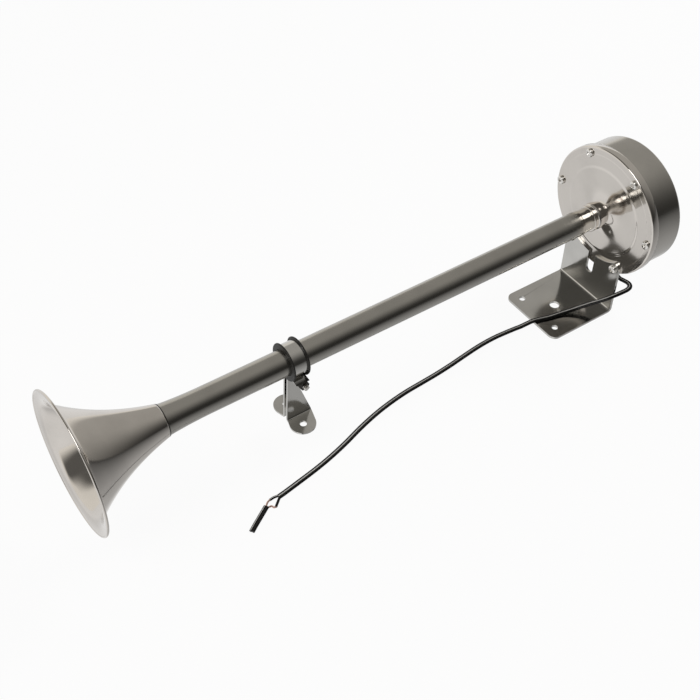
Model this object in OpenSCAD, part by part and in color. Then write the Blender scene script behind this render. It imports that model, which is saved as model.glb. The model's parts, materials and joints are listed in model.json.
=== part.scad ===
// Marine trumpet horn: a long spun trumpet screwed to an electric driver,
// with a bent sheet bracket at the driver and a clamped support under the tube.
// Millimetres. +X runs from the bell towards the driver, +Z is up, and the
// camera side is -Y. The origin is under the middle of the horn, on the floor.

/* [Trumpet] */
// Length from the front plate's face to the mouth of the bell
trumpet_len = 438.5; // [410:0.5:560]
// Outer diameter of the bell's mouth
mouth_d = 100; // [90:0.5:120]
// Diameter at which the flare turns out into the lip
lip_d = 77.4; // [66:0.2:82]
// Depth of the lip, from the mouth to the flare
lip_depth = 4.7; // [3:0.1:8]
// Length of the bell, from its mouth to the joint with the tube
bell_len = 63.5; // [50:0.5:72]
// Outer diameter of the bell's small end
seam_d = 23.2; // [22.4:0.1:26]
// Thickness of the spun bell sheet
bell_wall = 0.6; // [0.5:0.05:0.9]
// Diameter of the rolled bead round the mouth
rim_bead_d = 1.8; // [1.4:0.1:3]
// Outer diameter of the straight tube
tube_d = 19; // [18.6:0.1:20.4]
// Thickness of the tube
tube_wall = 0.7; // [0.5:0.05:0.9]
// Length over which the tube widens to meet the bell
tube_flare_len = 36; // [20:1:50]
// Length of tube that goes inside the bell's small end
joint_overlap = 6; // [3:0.5:10]
// Width of the black sealing ring at the joint
seal_w = 0.8; // [0.5:0.1:2]

/* [Neck] */
// Outer diameter of the tube's narrowed driver end
neck_d = 17.4; // [16.8:0.1:18.2]
// Length over which the tube narrows
neck_taper = 11; // [8:0.5:20]
// Length of the narrowed end, from the taper to the tube's end
neck_len = 6; // [5:0.5:10]
// Depth to which the tube's end enters the collar
socket_depth = 3; // [2:0.5:4]
// Diameter of the thin ring in front of the collar
ring_d = 20.4; // [19:0.2:24]
// Thickness of the thin ring
ring_t = 2; // [1:0.1:3]
// Largest diameter of the rounded collar
collar_d = 21.4; // [20.2:0.2:26]
// Diameter of the groove between ring and collar
groove_d = 18.8; // [18.6:0.1:19.6]
// Length of the collar
collar_len = 11; // [8.5:0.5:12]
// Length of the collar's groove
groove_len = 2; // [2:0.1:3.5]
// Wall of the throat nipple inside the tube
nipple_wall = 1.6; // [1:0.1:2.5]
// Length of the nipple inside the tube, past the tube's end
nipple_reach = 20; // [10:1:40]

/* [Front plate] */
// Thickness of the pressed plate
plate_t = 1.2; // [1:0.1:1.5]
// Length of the skirt round the driver, from the plate's face
skirt_len = 6.6; // [6.4:0.1:12]
// Radius of the plate's rounded rim
plate_rim_r = 1.6; // [1.3:0.1:2.4]
// Diameter of the pressed step round the raised centre
step_d = 71; // [60:0.5:78]
// Height of the raised centre above the plate's face, where the collar meets it
plate_rise = 3.6; // [2:0.1:5]
// Height of the pressed step round the raised centre
step_rise = 0.5; // [0.3:0.1:1]
// Radial width of the pressed step
step_w = 3; // [1.5:0.1:4]
// Distance of the screws from the plate's edge
screw_inset = 5; // [4.8:0.1:6]
// Shank diameter of the plate screws
screw_d = 3.5; // [3:0.1:3.8]
// Head diameter of the plate screws
head_d = 6.8; // [6:0.1:8]
// Head height of the plate screws
head_h = 2.4; // [2:0.1:3]
// Length of the plate screws under the head
screw_len = 11; // [8:0.5:16]

/* [Driver] */
// Depth of the driver, from the plate's face to the back of the drum
drum_depth = 31.5; // [30.8:0.1:50]
// Outer diameter of the drawn drum
drum_d = 98.8; // [94:0.2:106]
// Gap between the drum and the plate's skirt, filled by a sealing ring
skirt_gap = 0.8; // [0.6:0.05:1.2]
// Thickness of the drum sheet
drum_wall = 0.8; // [0.6:0.1:1]
// Radius of the drum's back corner
drum_corner_r = 3; // [2:0.5:8]
// Diameter of the recess in the drum's back
recess_d = 26; // [22:1:50]
// Depth of the recess in the drum's back
recess_depth = 2.4; // [2.2:0.1:2.8]
// Radial width of the gaskets
gasket_w = 11; // [8:0.5:12]
// Thickness of each gasket
gasket_t = 0.8; // [0.5:0.1:1.2]
// Thickness of the diaphragm
diaphragm_t = 0.4; // [0.3:0.05:0.6]
// Distance of the driver body's bowl inside the drum's outer face
bowl_inset = 7.4; // [5:0.1:8]
// Wall of the bowl
bowl_wall = 3.5; // [2.5:0.1:4.5]
// Thickness of the body's flange
body_flange_t = 2.5; // [2:0.1:3]
// Thickness of the bowl's bottom
bowl_bottom_t = 7; // [5:0.5:8]
// Length of the driver body, flange to back
body_len = 22.8; // [22:0.1:23.2]

/* [Magnet and breaker] */
// Gap between the armature disc and the bowl
armature_gap = 9.5; // [7:0.5:12]
// Thickness of the armature disc
armature_t = 2; // [1.5:0.1:2.2]
// Air gap between armature and pole
pole_gap = 0.8; // [0.7:0.1:1.2]
// Diameter of the pole core
core_d = 17.8; // [14:0.2:22]
// Diameter of the core's threaded tail
core_tail_d = 9; // [7:0.5:12]
// Radial room between the coil and the bowl, for the breaker
breaker_room = 12.3; // [12:0.1:16]
// Gap between the bobbin's flanges and the breaker
bobbin_gap = 1.2; // [0.8:0.1:4]
// Length of the coil bobbin
bobbin_len = 12.5; // [9:0.1:12.8]
// Wall of the coil bobbin
bobbin_wall = 1; // [0.8:0.1:1.5]
// Depth by which the winding stays below the bobbin's flanges
winding_inset = 1; // [0.5:0.1:3]
// Width of the breaker's leaf spring
leaf_w = 5.8; // [5:0.1:6.2]
// Thickness of the leaf spring
leaf_t = 0.5; // [0.3:0.05:0.6]
// Depth of the leaf spring behind the pole's face
leaf_depth = 3.3; // [3.2:0.1:4]
// Free length of the leaf spring, from its clamp to its tip
leaf_free = 25; // [23:0.5:26]
// Diameter of the contact tips
tip_d = 2.8; // [2:0.1:3.2]
// Height of each contact tip
tip_h = 0.6; // [0.4:0.05:0.8]
// Thickness of the fixed contact arm
arm_t = 0.8; // [0.5:0.05:0.9]
// Width of the fixed contact arm
arm_w = 3.4; // [3:0.1:3.8]
// Diameter of the adjusting screw
adjuster_d = 3.2; // [2.5:0.1:3.6]

/* [Bracket] */
// Thickness of the bracket sheet
bracket_t = 2; // [1.5:0.1:2.5]
// Radius of the bracket's ears round its screws
ear_r = 5.8; // [4.5:0.1:8]
// Length of the bracket's base
base_len = 60; // [50:0.5:80]
// Radius of the base's free corners
base_corner_r = 6; // [2:0.5:10]
// Inner radius of the bracket's fold
fold_r = 1.5; // [1:0.1:3]
// Height of the horn's axis above the bracket's foot
axis_h = 81.4; // [78:0.2:86]
// Distance of the bracket's hollow top edge inside the circle of screws
arc_inset = 5.1; // [4.6:0.1:5.6]
// Width of the bracket's slot
slot_w = 7; // [5:0.5:9]
// Height of the slot's lower end above the foot
slot_bottom = 21.5; // [14:0.5:23]
// Diameter of the two small holes in the base
base_hole_d = 4.8; // [4:0.1:6]
// Distance between the two small holes
base_hole_gap = 39; // [34:0.5:42]
// Distance of the small holes from the base's free edge
base_hole_edge = 9.5; // [7:0.5:12]
// Diameter of the middle hole in the base
mid_hole_d = 7.6; // [6:0.1:9]
// Distance of the middle hole from the front plate's face
mid_hole_x = 33.8; // [30:0.2:38]

/* [Front support] */
// Distance of the support from the front plate's face
support_x = 278; // [120:0.2:290]
// Width of the strap round the tube
strap_w = 10.2; // [6:0.2:14]
// Thickness of the strap
strap_t = 1.4; // [1:0.1:1.8]
// Thickness of the rubber under the strap
rubber_t = 1; // [0.8:0.1:2]
// Diameter of the rubber grommet's flanges
grommet_d = 28; // [27:0.2:32]
// Thickness of each rubber flange
grommet_flange_t = 1.2; // [1:0.1:3]
// Gap between the strap's two legs
leg_gap = 2.4; // [0.2:0.1:3]
// Height of the strap's feet above the bracket's foot
foot_h = 26; // [18:0.5:34]
// Width of the strap's feet at their fold
foot_w = 19.4; // [16:0.2:24]
// Distance by which the feet's fold lies off the strap's middle, towards the driver
foot_shift = 3.2; // [0:0.2:5]
// Radius of the feet's round ends
foot_end_r = 9.4; // [8:0.1:11]
// Distance of the feet's round ends off the strap's middle, towards the driver
foot_end_shift = 1.2; // [0:0.1:5]
// Distance of the foot holes from the support's middle
foot_hole_y = 11.2; // [9:0.2:14]
// Diameter of the foot holes
foot_hole_d = 5; // [4:0.1:6]
// Inner radius of the bends above the feet
foot_bend_r = 1; // [0.8:0.1:2]
// Depth of the clamp screw below the horn's axis
clamp_drop = 24.2; // [19:0.2:27]
// Distance of the clamp screw off the strap's middle, towards the driver
clamp_shift = 5.8; // [0:0.2:8]
// Diameter of the clamp screw
clamp_d = 4; // [3:0.1:5]
// Width across the corners of the clamp nut
clamp_nut_d = 7.8; // [7:0.1:9]
// Thickness of the clamp nut
clamp_nut_t = 4.4; // [3:0.1:6]
// Length of thread that stands out of the clamp nut
clamp_tail = 2.6; // [1:0.1:5]

/* [Cable] */
// Width of the flat twin cable
cable_w = 4; // [3.6:0.1:4.2]
// Thickness of the flat twin cable
cable_t = 2; // [1.8:0.1:2]
// Distance of the cable gland behind the front plate's face
gland_x = 12; // [11:0.5:14]
// Angle of the gland round the drum, from straight down towards the near side
gland_angle = 15.7; // [14:0.1:18]
// Diameter of the gland's outer flange
gland_d = 8.4; // [7.6:0.1:9]
// Thickness of the gland's outer flange
gland_flange_t = 1.3; // [1:0.1:2]
// Length of the gland's tapered nose
gland_nose = 2.5; // [2:0.1:4]
// Diameter of the bare copper strands
copper_d = 1.1; // [0.8:0.1:1.4]

/* [Hidden] */
$fn = 96;

// Named clearances
fit_gap = 0.03;     // between parts pushed together
running_gap = 0.05; // between parts that turn or slide on each other
hole_gap = 0.2;     // round the shank of a screw
cut = 1;            // how far a cutting solid runs past a face
lap = 0.5;          // how far two shapes of one piece run into each other

// Places along X, measured from the front plate's face
face_x = (trumpet_len - drum_depth) / 2;
seam_x = -(trumpet_len - bell_len);
diaphragm_x = plate_t + gasket_t;
rear_gasket_x = diaphragm_x + diaphragm_t;
body_x = rear_gasket_x + gasket_t;
drum_x = body_x + body_flange_t;
body_back_x = body_x + body_len;
bowl_floor_x = body_back_x - bowl_bottom_t;
armature_back_x = rear_gasket_x + armature_t;
pole_x = armature_back_x + pole_gap;
bobbin_x = bowl_floor_x - bobbin_len;
recess_x = drum_depth - recess_depth;
collar_x = -(plate_rise + collar_len);
ring_x = collar_x - ring_t;
tube_end_x = collar_x + socket_depth;
neck_x = tube_end_x - neck_len - neck_taper;

// Radii
collar_foot_wall = 0.3;
tube_r = tube_d / 2;
seam_r = seam_d / 2;
neck_r = neck_d / 2;
mouth_r = mouth_d / 2;
bead_r = rim_bead_d / 2;
drum_r = drum_d / 2;
skirt_in_r = drum_r + skirt_gap;
plate_r = skirt_in_r + plate_t;
body_r = skirt_in_r - hole_gap;
screw_ring_r = plate_r - screw_inset;
gasket_in_r = body_r - gasket_w;
collar_foot_r = neck_r + collar_foot_wall;
bowl_r = drum_r - bowl_inset;
nipple_r = neck_r - tube_wall - fit_gap;
throat_r = nipple_r - nipple_wall;
bowl_in_r = bowl_r - bowl_wall;
armature_r = bowl_in_r - armature_gap;

// Constant of the bell's exponential flare
flare_k = (bell_len - lip_depth) / ln(lip_d / seam_d);
flare_points = 22;
lip_points = 8;

// Angles of the plate screws: the two lowest also hold the bracket
SCREW_ANGLES = [0, 60, 120, 180];
BRACKET_ANGLES = [240, 300];
ALL_ANGLES = concat(SCREW_ANGLES, BRACKET_ANGLES);
bracket_screw_y = screw_ring_r * cos(BRACKET_ANGLES[1]);
bracket_screw_z = axis_h + screw_ring_r * sin(BRACKET_ANGLES[1]);
bracket_w = 2 * (bracket_screw_y + ear_r);
bracket_arc_r = screw_ring_r - arc_inset;

// Breaker: it sits above the coil, on the bowl's floor
leaf_x = pole_x + leaf_depth;
leaf_inner = bowl_in_r - breaker_room;
leaf_mid = leaf_inner + leaf_w / 2;
bobbin_r = leaf_inner - bobbin_gap;
clamp_y = -11;
clamp_len = 8.5;
tip_y = 11;
arm_overhang = 0.4;
arm_x = leaf_x - 2 * tip_h - arm_t - fit_gap;
arm_z = leaf_inner + leaf_w - arm_w / 2 + arm_overhang;
arm_end_y = 19.2;
adjuster_y = 17.2;
adjuster_tail = 3.8;
driver_slot_w = 0.6;
driver_slot_depth = 0.8;
lock_nut_t = 2.4;
striker_d = 1.8;
striker_y = 6;
striker_z = leaf_inner + 1.1;
contact_screw_d = 1.8;
contact_head_d = 3.4;
contact_head_h = 1.2;
CONTACT_SCREW_Y = [-17.4, -13.1];

// Wiring parts inside the drum
suppressor_gap = 0.3;
strip_size = [3, 28, 8];
strip_z = -(leaf_inner + 6.8);
strip_screw_y = 8;
strip_screw_d = 2;
strip_head_d = 4.4;
strip_head_h = 1;
suppressor_size = [6, 18, 7];
suppressor_z = -(bobbin_r + bobbin_gap + suppressor_gap + suppressor_size[2]);
lead_d = 1.4;
lead_spread = 1.4; // degrees between a lead and the gland's middle
lead_end_angle = asin(strip_screw_y / -strip_z);

// Support: radii of the rubber's groove and of the strap
rubber_in_r = tube_r + running_gap;
rubber_out_r = rubber_in_r + rubber_t;
strap_in_r = rubber_out_r + running_gap;
strap_out_r = strap_in_r + strap_t;
leg_y = leg_gap / 2 + strap_t;
strap_fillet_r = 1.5;
strap_w_half = strap_w / 2;
leg_waist = 2.8;       // reach of the leg's sloping edge at the clamp screw's height
lug_rim = 2.2;         // sheet round the clamp screw's hole
foot_end_y = foot_hole_y - 0.8;
rubber_edge_r = 0.6;

// Small shapes: edges, heads, washers and flanges
plate_power = 4.2; // how fast the plate's centre steepens towards the collar
dome_points = 12;
dome_lean = 0.75;  // below 1, the dome is widest on its own side of the collar
dome_round = 0.7;  // below 1, the dome's ends are round
ring_edge_r = 0.4;
seal_slope = 0.25;
nipple_flange_w = 1;
nipple_flange_t = 0.6;
bowl_chamfer = 1;
recess_slope = 1;
seal_inset = 0.1;
washer_t = 0.5;
washer_rim = 1;
head_below = 0.3;
core_chamfer = 0.6;
core_tapped = 4;
core_nut_room = 0.4;
armature_chamfer = 0.6;
stud_d = 5;
stud_head_d = 9;
stud_head_h = 1.2;

// Cable gland: radii of its neck, and distances of its ends from the horn's axis
gland_neck_r = 3.4;
gland_lip_t = 1.6;
gland_tip_wall = 0.7;
gland_in_r = drum_r - drum_wall - gland_lip_t;
gland_end_r = drum_r + gland_flange_t + gland_nose;

// Route of the cable, from the gland over the bracket's base and along the floor
CORD_ROUTE = [
    [215.5, -14.4, 30.17], [215.5, -15.5, 26.8], [215.6, -17.2, 23.8], [216.6, -20, 21.6],
    [218.2, -23.4, 20.9], [219, -26.8, 20.8], [218.2, -29.6, 20.8], [215.9, -31.5, 20.8],
    [212.6, -32.2, 20.7], [208.2, -32, 20.6], [203.6, -31.6, 20.4], [199.4, -30.4, 19.4],
    [195.6, -28.6, 17.6], [191.7, -25.8, 15], [186.7, -21.7, 11.6], [181.2, -17.8, 8.2],
    [174.1, -14.1, 5.1], [166.4, -11.3, 3.5], [157, -9.4, 3.1], [149, -7.1, 3.1],
    [142.4, -5.4, 3.06], [137, -4.3, 2], [131.5, -3.5, 1.15], [125, -2.7, 1.05],
    [108.2, -1.6, 1.05], [92.8, -2.1, 1.05], [76.8, -3.9, 1.05], [60.9, -6, 1.05],
    [45.5, -7.5, 1.05], [31, -8.4, 1.05], [16.2, -9.4, 1.05], [1, -11.5, 1.05],
    [-14.5, -14.7, 1.05], [-31, -19.4, 1.05], [-47.5, -25, 1.05], [-63.5, -29.6, 1.05],
    [-78, -32.9, 1.05], [-92.2, -35.5, 1.05], [-105.9, -37.9, 1.05], [-111.4, -38.7, 1.05]
];
CORE_A = [[-111.5, -37.7, 1.05], [-114.5, -37.3, 1.05], [-117.8, -37.6, 1.05]];
CORE_B = [[-111.3, -39.7, 1.05], [-113.2, -41.2, 1.05], [-117.4, -44.8, 1.05]];
COPPER_A = [[-117.8, -37.6, 1.05], [-120.4, -38.6, 1.05], [-122.6, -40.7, 1.05]];
COPPER_B = [[-117.4, -44.8, 1.05], [-118.9, -44.4, 1.05], [-119.4, -42.8, 1.05], [-121.6, -42.3, 1.05]];
TAIL = [[-122.6, -41, 1.05], [-132, -47, 1.05], [-141.3, -53.1, 1.05]];
// Route of the two inner leads, as [place along X, distance from the axis]
lead_way_r = bowl_r + lead_d / 2 + 1.7;
lead_end_x = body_back_x + strip_size[0] / 2;
lead_bend_r = 2;
lead_end_gap = 0.2;
LEAD_ROUTE = concat(
    [[gland_x, gland_in_r]],
    arc([gland_x + lead_bend_r, lead_way_r + lead_bend_r], lead_bend_r, 180, 270, 4),
    [[(gland_x + lead_end_x) / 2, lead_way_r]],
    arc([lead_end_x - lead_bend_r, lead_way_r - lead_bend_r], lead_bend_r, 90, 0, 4),
    [[lead_end_x, -strip_z / cos(lead_end_angle) + lead_end_gap]]);

// Moves children from the plate's face and axis to their place
module on_face() {
    translate([face_x, 0, axis_h]) children();
}

// Revolves an outline of [radius, place along X] about the horn's axis
module lathe() {
    on_face() rotate([0, 90, 0]) rotate_extrude() children();
}

// A round bar along X, from one place to another, at y and z from the axis
module bar_x(d, from, to, y = 0, z = 0) {
    translate([from, y, z]) rotate([0, 90, 0]) cylinder(d = d, h = to - from);
}

// A flat ring about the axis
module washer_x(inner_d, outer_d, from, to) {
    lathe() translate([inner_d / 2, from]) square([(outer_d - inner_d) / 2, to - from]);
}

// Holes through the whole screw circle
module screw_holes(angles, from, to, d) {
    for (a = angles)
        rotate([a, 0, 0]) bar_x(d, from, to, screw_ring_r);
}

// A pan head with a cross recess, standing on x = 0 and pointing to -X
module pan_head(d, h) {
    edge = 0.35 * h;
    recess_w = 0.13 * d;
    recess_len = 0.56 * d;
    recess_h = 0.55 * h;
    difference() {
        rotate([0, -90, 0]) rotate_extrude()
            polygon(concat([[0, 0], [d / 2, 0], [d / 2, edge]],
                [for (a = [15:15:90]) [d / 2 * cos(a), edge + (h - edge) * sin(a)]]));
        for (turn = [0, 90])
            rotate([turn, 0, 0])
                translate([-h - cut, -recess_w / 2, -recess_len / 2])
                    cube([cut + recess_h, recess_w, recess_len]);
    }
}

// A screw that enters along +X from a face at x = 0
module pan_screw(d, len, head_dia, head_height) {
    union() {
        pan_head(head_dia, head_height);
        bar_x(d, -lap, len);
    }
}

// Points of an arc in a flat outline
function arc(centre, r, from, to, n = 8) =
    [for (i = [0:n]) let (a = from + (to - from) * i / n) centre + r * [cos(a), sin(a)]];

// Point of a cubic curve with four control points
function curve(p, t) =
    pow(1 - t, 3) * p[0] + 3 * pow(1 - t, 2) * t * p[1] + 3 * (1 - t) * t * t * p[2] + pow(t, 3) * p[3];

function unit(v) = v / norm(v);

// Point where a line from p touches a circle, seen from p on its left (1) or right (-1) side
function tangent(p, centre, r, side) =
    let (way = p - centre, a = atan2(way[1], way[0]) - side * acos(r / norm(way)))
    centre + r * [cos(a), sin(a)];

function reversed(list) = [for (i = [len(list) - 1:-1:0]) list[i]];

// Outer radius of the bell at a depth behind its mouth, on the exponential part
function bell_r(depth) = seam_r * exp((bell_len - depth) / flare_k);

// Outer line of the bell from its small end to the rim bead, as [radius, x]
function bell_line() =
    let (lip_start = [lip_d / 2, lip_depth - trumpet_len],
         rim = [mouth_r - bead_r, bead_r - trumpet_len],
         slope = unit([lip_d / 2 / flare_k, -1]),
         reach = norm(rim - lip_start),
         control = [lip_start, lip_start + slope * reach * 0.36,
                    rim + [-0.45 * reach, 0.04 * reach], rim])
    concat(
        [for (i = [0:flare_points])
            let (d = bell_len + (lip_depth - bell_len) * i / flare_points)
            [bell_r(d), d - trumpet_len]],
        [for (i = [1:lip_points]) curve(control, i / lip_points)]);

// The same line moved inwards by the wall
function inner_line(line, wall) =
    [for (i = [0:len(line) - 1])
        i == 0 ? line[0] - [wall, 0]
        : let (t = unit(line[min(i + 1, len(line) - 1)] - line[i - 1]))
          line[i] + wall * [t[1], -t[0]]];

// Outer radius of the tube where it widens, from 0 at the straight tube to 1 at the joint
function widened_r(s) = tube_r + (seam_r - bell_wall - fit_gap - tube_r) * pow(s, 2.4);

// Outer line of the tube, from its end inside the bell to its end in the collar
function tube_line() = concat(
    [for (i = [0:3])
        let (x = seam_x - joint_overlap * (1 - i / 3))
        [bell_r(x + trumpet_len) - bell_wall - fit_gap, x]],
    [for (i = [1:8]) [widened_r(1 - i / 8), seam_x + tube_flare_len * i / 8]],
    [for (i = [0:6])
        let (s = i / 6, ease = s * s * (3 - 2 * s))
        [tube_r - (tube_r - neck_r) * ease, neck_x + neck_taper * s]],
    [[neck_r, tube_end_x]]);

// The sheet's two sides run into the bead, which an arc carries from one to the other
module bell() color([0.66, 0.64, 0.61]) {
    line = bell_line();
    last = len(line) - 1;
    way = line[last] - line[last - 1];
    back = atan2(-way[1], -way[0]);
    sheet = [for (i = [0:last - 1]) line[i]];
    lathe() polygon(concat(sheet,
        arc(line[last], bead_r, back, back - 360 + asin(bell_wall / bead_r), 20),
        reversed(inner_line(sheet, bell_wall))));
}

module joint_seal() color([0.08, 0.08, 0.08])
    lathe() polygon([
        [widened_r(1) + fit_gap, seam_x], [seam_r, seam_x],
        [seam_r - seal_slope, seam_x + seal_w], [widened_r(1) + fit_gap, seam_x + seal_w]]);

module trumpet_tube() color([0.52, 0.5, 0.47]) {
    line = tube_line();
    lathe() polygon(concat(line, reversed([for (p = line) p - [tube_wall, 0]])));
}

// Turned nipple: a sleeve inside the tube, with a flange peened behind the plate
module throat_nipple() color([0.7, 0.69, 0.66]) {
    inner_x = plate_t - plate_rise;
    flange_r = nipple_r + nipple_flange_w;
    lathe() polygon([
        [throat_r, tube_end_x - nipple_reach], [nipple_r, tube_end_x - nipple_reach],
        [nipple_r, inner_x], [flange_r, inner_x],
        [flange_r, inner_x + nipple_flange_t], [throat_r, inner_x + nipple_flange_t]]);
}

module neck_ring() color([0.72, 0.71, 0.68])
    lathe() polygon(concat(
        [[neck_r + fit_gap, ring_x]],
        arc([ring_d / 2 - ring_edge_r, ring_x + ring_edge_r], ring_edge_r, -90, 0, 4),
        arc([ring_d / 2 - ring_edge_r, ring_x + ring_t - ring_edge_r], ring_edge_r, 0, 90, 4),
        [[neck_r + fit_gap, ring_x + ring_t]]));

// Rounded collar: a groove behind the thin ring, then a dome that narrows to its foot on the plate
module neck_collar() color([0.72, 0.71, 0.68]) {
    dome_x = collar_x + groove_len;
    dome_len = collar_len - groove_len;
    dome_in = groove_d / 2;
    dome_h = collar_d / 2 - dome_in;
    lathe() polygon(concat(
        [[neck_r + fit_gap, collar_x], [dome_in, collar_x], [dome_in, dome_x]],
        [for (i = [1:dome_points - 1])
            let (s = i / dome_points)
            [dome_in + dome_h * pow(sin(180 * pow(s, dome_lean)), dome_round) + (collar_foot_r - dome_in) * s,
             dome_x + dome_len * s]],
        [[collar_foot_r, -plate_rise], [nipple_r + fit_gap, -plate_rise],
         [nipple_r + fit_gap, tube_end_x], [neck_r + fit_gap, tube_end_x]]));
}

// Front line of the pressed plate, from the foot of the collar to the face round the step
function plate_line() =
    let (from = collar_foot_r, to = step_d / 2 - step_w / 2)
    concat(
        [for (i = [0:10])
            let (s = i / 10)
            [from + (to - from) * s, -step_rise - (plate_rise - step_rise) * pow(1 - s, plate_power)]],
        [for (i = [1:6])
            let (s = i / 6, ease = s * s * (3 - 2 * s))
            [to + step_w * s, -step_rise * (1 - ease)]]);

module front_plate() color([0.78, 0.77, 0.74]) {
    hole_r = nipple_r + fit_gap;
    difference() {
        lathe() polygon(concat(
            [[hole_r, -plate_rise]], plate_line(),
            arc([plate_r - plate_rim_r, plate_rim_r], plate_rim_r, -90, 0, 8),
            [[plate_r, skirt_len], [skirt_in_r, skirt_len], [skirt_in_r, plate_t]],
            reversed([for (p = plate_line()) p + [0, plate_t]]),
            [[hole_r, plate_t - plate_rise]]));
        on_face() screw_holes(ALL_ANGLES, -cut, plate_t + cut, screw_d + hole_gap);
    }
}

module plate_screws() color([0.75, 0.74, 0.72])
    on_face() for (a = SCREW_ANGLES)
        rotate([a, 0, 0]) translate([0, screw_ring_r, 0])
            pan_screw(screw_d, screw_len, head_d, head_h);

module bracket_screws() color([0.75, 0.74, 0.72])
    on_face() for (a = BRACKET_ANGLES)
        rotate([a, 0, 0]) translate([-bracket_t, screw_ring_r, 0])
            pan_screw(screw_d, screw_len + bracket_t, head_d, head_h);

// Upright of the bracket, drawn in Y and Z: ears round the screws, a hollow top and a slot
module upright_outline() {
    difference() {
        union() {
            translate([-bracket_w / 2, fold_r + bracket_t])
                square([bracket_w, bracket_screw_z - fold_r - bracket_t]);
            translate([-bracket_screw_y, bracket_screw_z - cut])
                square([2 * bracket_screw_y, ear_r + cut]);
            for (side = [-1, 1])
                translate([side * bracket_screw_y, bracket_screw_z]) circle(ear_r);
        }
        translate([0, axis_h]) circle(bracket_arc_r);
        translate([-slot_w / 2, slot_bottom + slot_w / 2]) square([slot_w, axis_h]);
        translate([0, slot_bottom + slot_w / 2]) circle(d = slot_w);
        for (side = [-1, 1])
            translate([side * bracket_screw_y, bracket_screw_z]) circle(d = screw_d + hole_gap);
    }
}

// Base of the bracket, drawn in X and Y from the fold to the free edge
module base_outline() {
    free = -base_len;
    flat_end = -(fold_r + bracket_t);
    difference() {
        union() {
            translate([free + base_corner_r, -bracket_w / 2])
                square([flat_end - free - base_corner_r, bracket_w]);
            translate([free, base_corner_r - bracket_w / 2])
                square([base_corner_r + cut, bracket_w - 2 * base_corner_r]);
            for (side = [-1, 1])
                translate([free + base_corner_r, side * (bracket_w / 2 - base_corner_r)])
                    circle(base_corner_r);
        }
        for (side = [-1, 1])
            translate([free + base_hole_edge, side * base_hole_gap / 2]) circle(d = base_hole_d);
        translate([-mid_hole_x, 0]) circle(d = mid_hole_d);
    }
}

module mounting_bracket() color([0.5, 0.49, 0.47]) {
    outer = fold_r + bracket_t;
    translate([face_x, 0, 0]) union() {
        translate([-bracket_t, 0, 0]) rotate([90, 0, 90])
            linear_extrude(bracket_t) upright_outline();
        linear_extrude(bracket_t) base_outline();
        translate([-outer, bracket_w / 2, outer]) rotate([90, 0, 0])
            linear_extrude(bracket_w) intersection() {
                difference() {
                    circle(outer);
                    circle(fold_r);
                }
                translate([0, -outer]) square(outer);
            }
    }
}

module front_gasket() color([0.12, 0.12, 0.12])
    difference() {
        washer_x(2 * gasket_in_r, 2 * body_r, plate_t, diaphragm_x);
        on_face() screw_holes(ALL_ANGLES, 0, diaphragm_x + cut, screw_d + hole_gap);
    }

module diaphragm() color([0.62, 0.62, 0.6])
    difference() {
        washer_x(stud_d + 2 * fit_gap, 2 * body_r, diaphragm_x, rear_gasket_x);
        on_face() screw_holes(ALL_ANGLES, 0, rear_gasket_x + cut, screw_d + hole_gap);
    }

module rear_gasket() color([0.12, 0.12, 0.12])
    difference() {
        washer_x(2 * gasket_in_r, 2 * body_r, rear_gasket_x, body_x);
        on_face() screw_holes(ALL_ANGLES, 0, body_x + cut, screw_d + hole_gap);
    }

// Cast bowl with a wide flange: it carries the magnet and the breaker
module driver_body() color([0.3, 0.3, 0.31]) {
    difference() {
        lathe() polygon([
            [bowl_in_r, body_x], [body_r, body_x], [body_r, drum_x], [bowl_r, drum_x],
            [bowl_r, body_back_x - bowl_chamfer], [bowl_r - bowl_chamfer, body_back_x],
            [core_tail_d / 2 + fit_gap, body_back_x], [core_tail_d / 2 + fit_gap, bowl_floor_x],
            [bowl_in_r, bowl_floor_x]]);
        on_face() {
            screw_holes(ALL_ANGLES, body_x - cut, drum_x + cut, screw_d + fit_gap);
            bar_x(adjuster_d + 2 * running_gap, bowl_floor_x - cut, body_back_x + cut, adjuster_y, arm_z);
        }
    }
}

module drum() color([0.5, 0.49, 0.46]) {
    out_r = drum_r;
    in_r = drum_r - drum_wall;
    corner_in = drum_corner_r - drum_wall;
    difference() {
        lathe() polygon(concat(
            [[in_r, drum_x], [out_r, drum_x]],
            arc([out_r - drum_corner_r, drum_depth - drum_corner_r], drum_corner_r, 0, 90),
            [[recess_d / 2 + recess_slope, drum_depth], [recess_d / 2, recess_x],
             [screw_d / 2 + hole_gap, recess_x], [screw_d / 2 + hole_gap, recess_x - drum_wall],
             [recess_d / 2 + drum_wall, recess_x - drum_wall],
             [recess_d / 2 + recess_slope + drum_wall, drum_depth - drum_wall]],
            reversed(arc([in_r - corner_in, drum_depth - drum_wall - corner_in], corner_in, 0, 90))));
        at_gland() cylinder(r = gland_neck_r + fit_gap, h = drum_r + cut);
    }
}

module drum_seal() color([0.1, 0.1, 0.1])
    washer_x(drum_d + 2 * fit_gap, 2 * (skirt_in_r - fit_gap), drum_x, skirt_len - seal_inset);

module drum_washer() color([0.14, 0.14, 0.14])
    washer_x(screw_d + hole_gap, head_d + 2 * washer_rim, recess_x, recess_x + washer_t);

module drum_screw() color([0.75, 0.74, 0.72])
    on_face() translate([recess_x + washer_t, 0, 0]) mirror([1, 0, 0])
        pan_screw(screw_d, washer_t + recess_depth + drum_wall, head_d,
            recess_depth - washer_t - head_below);

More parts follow.
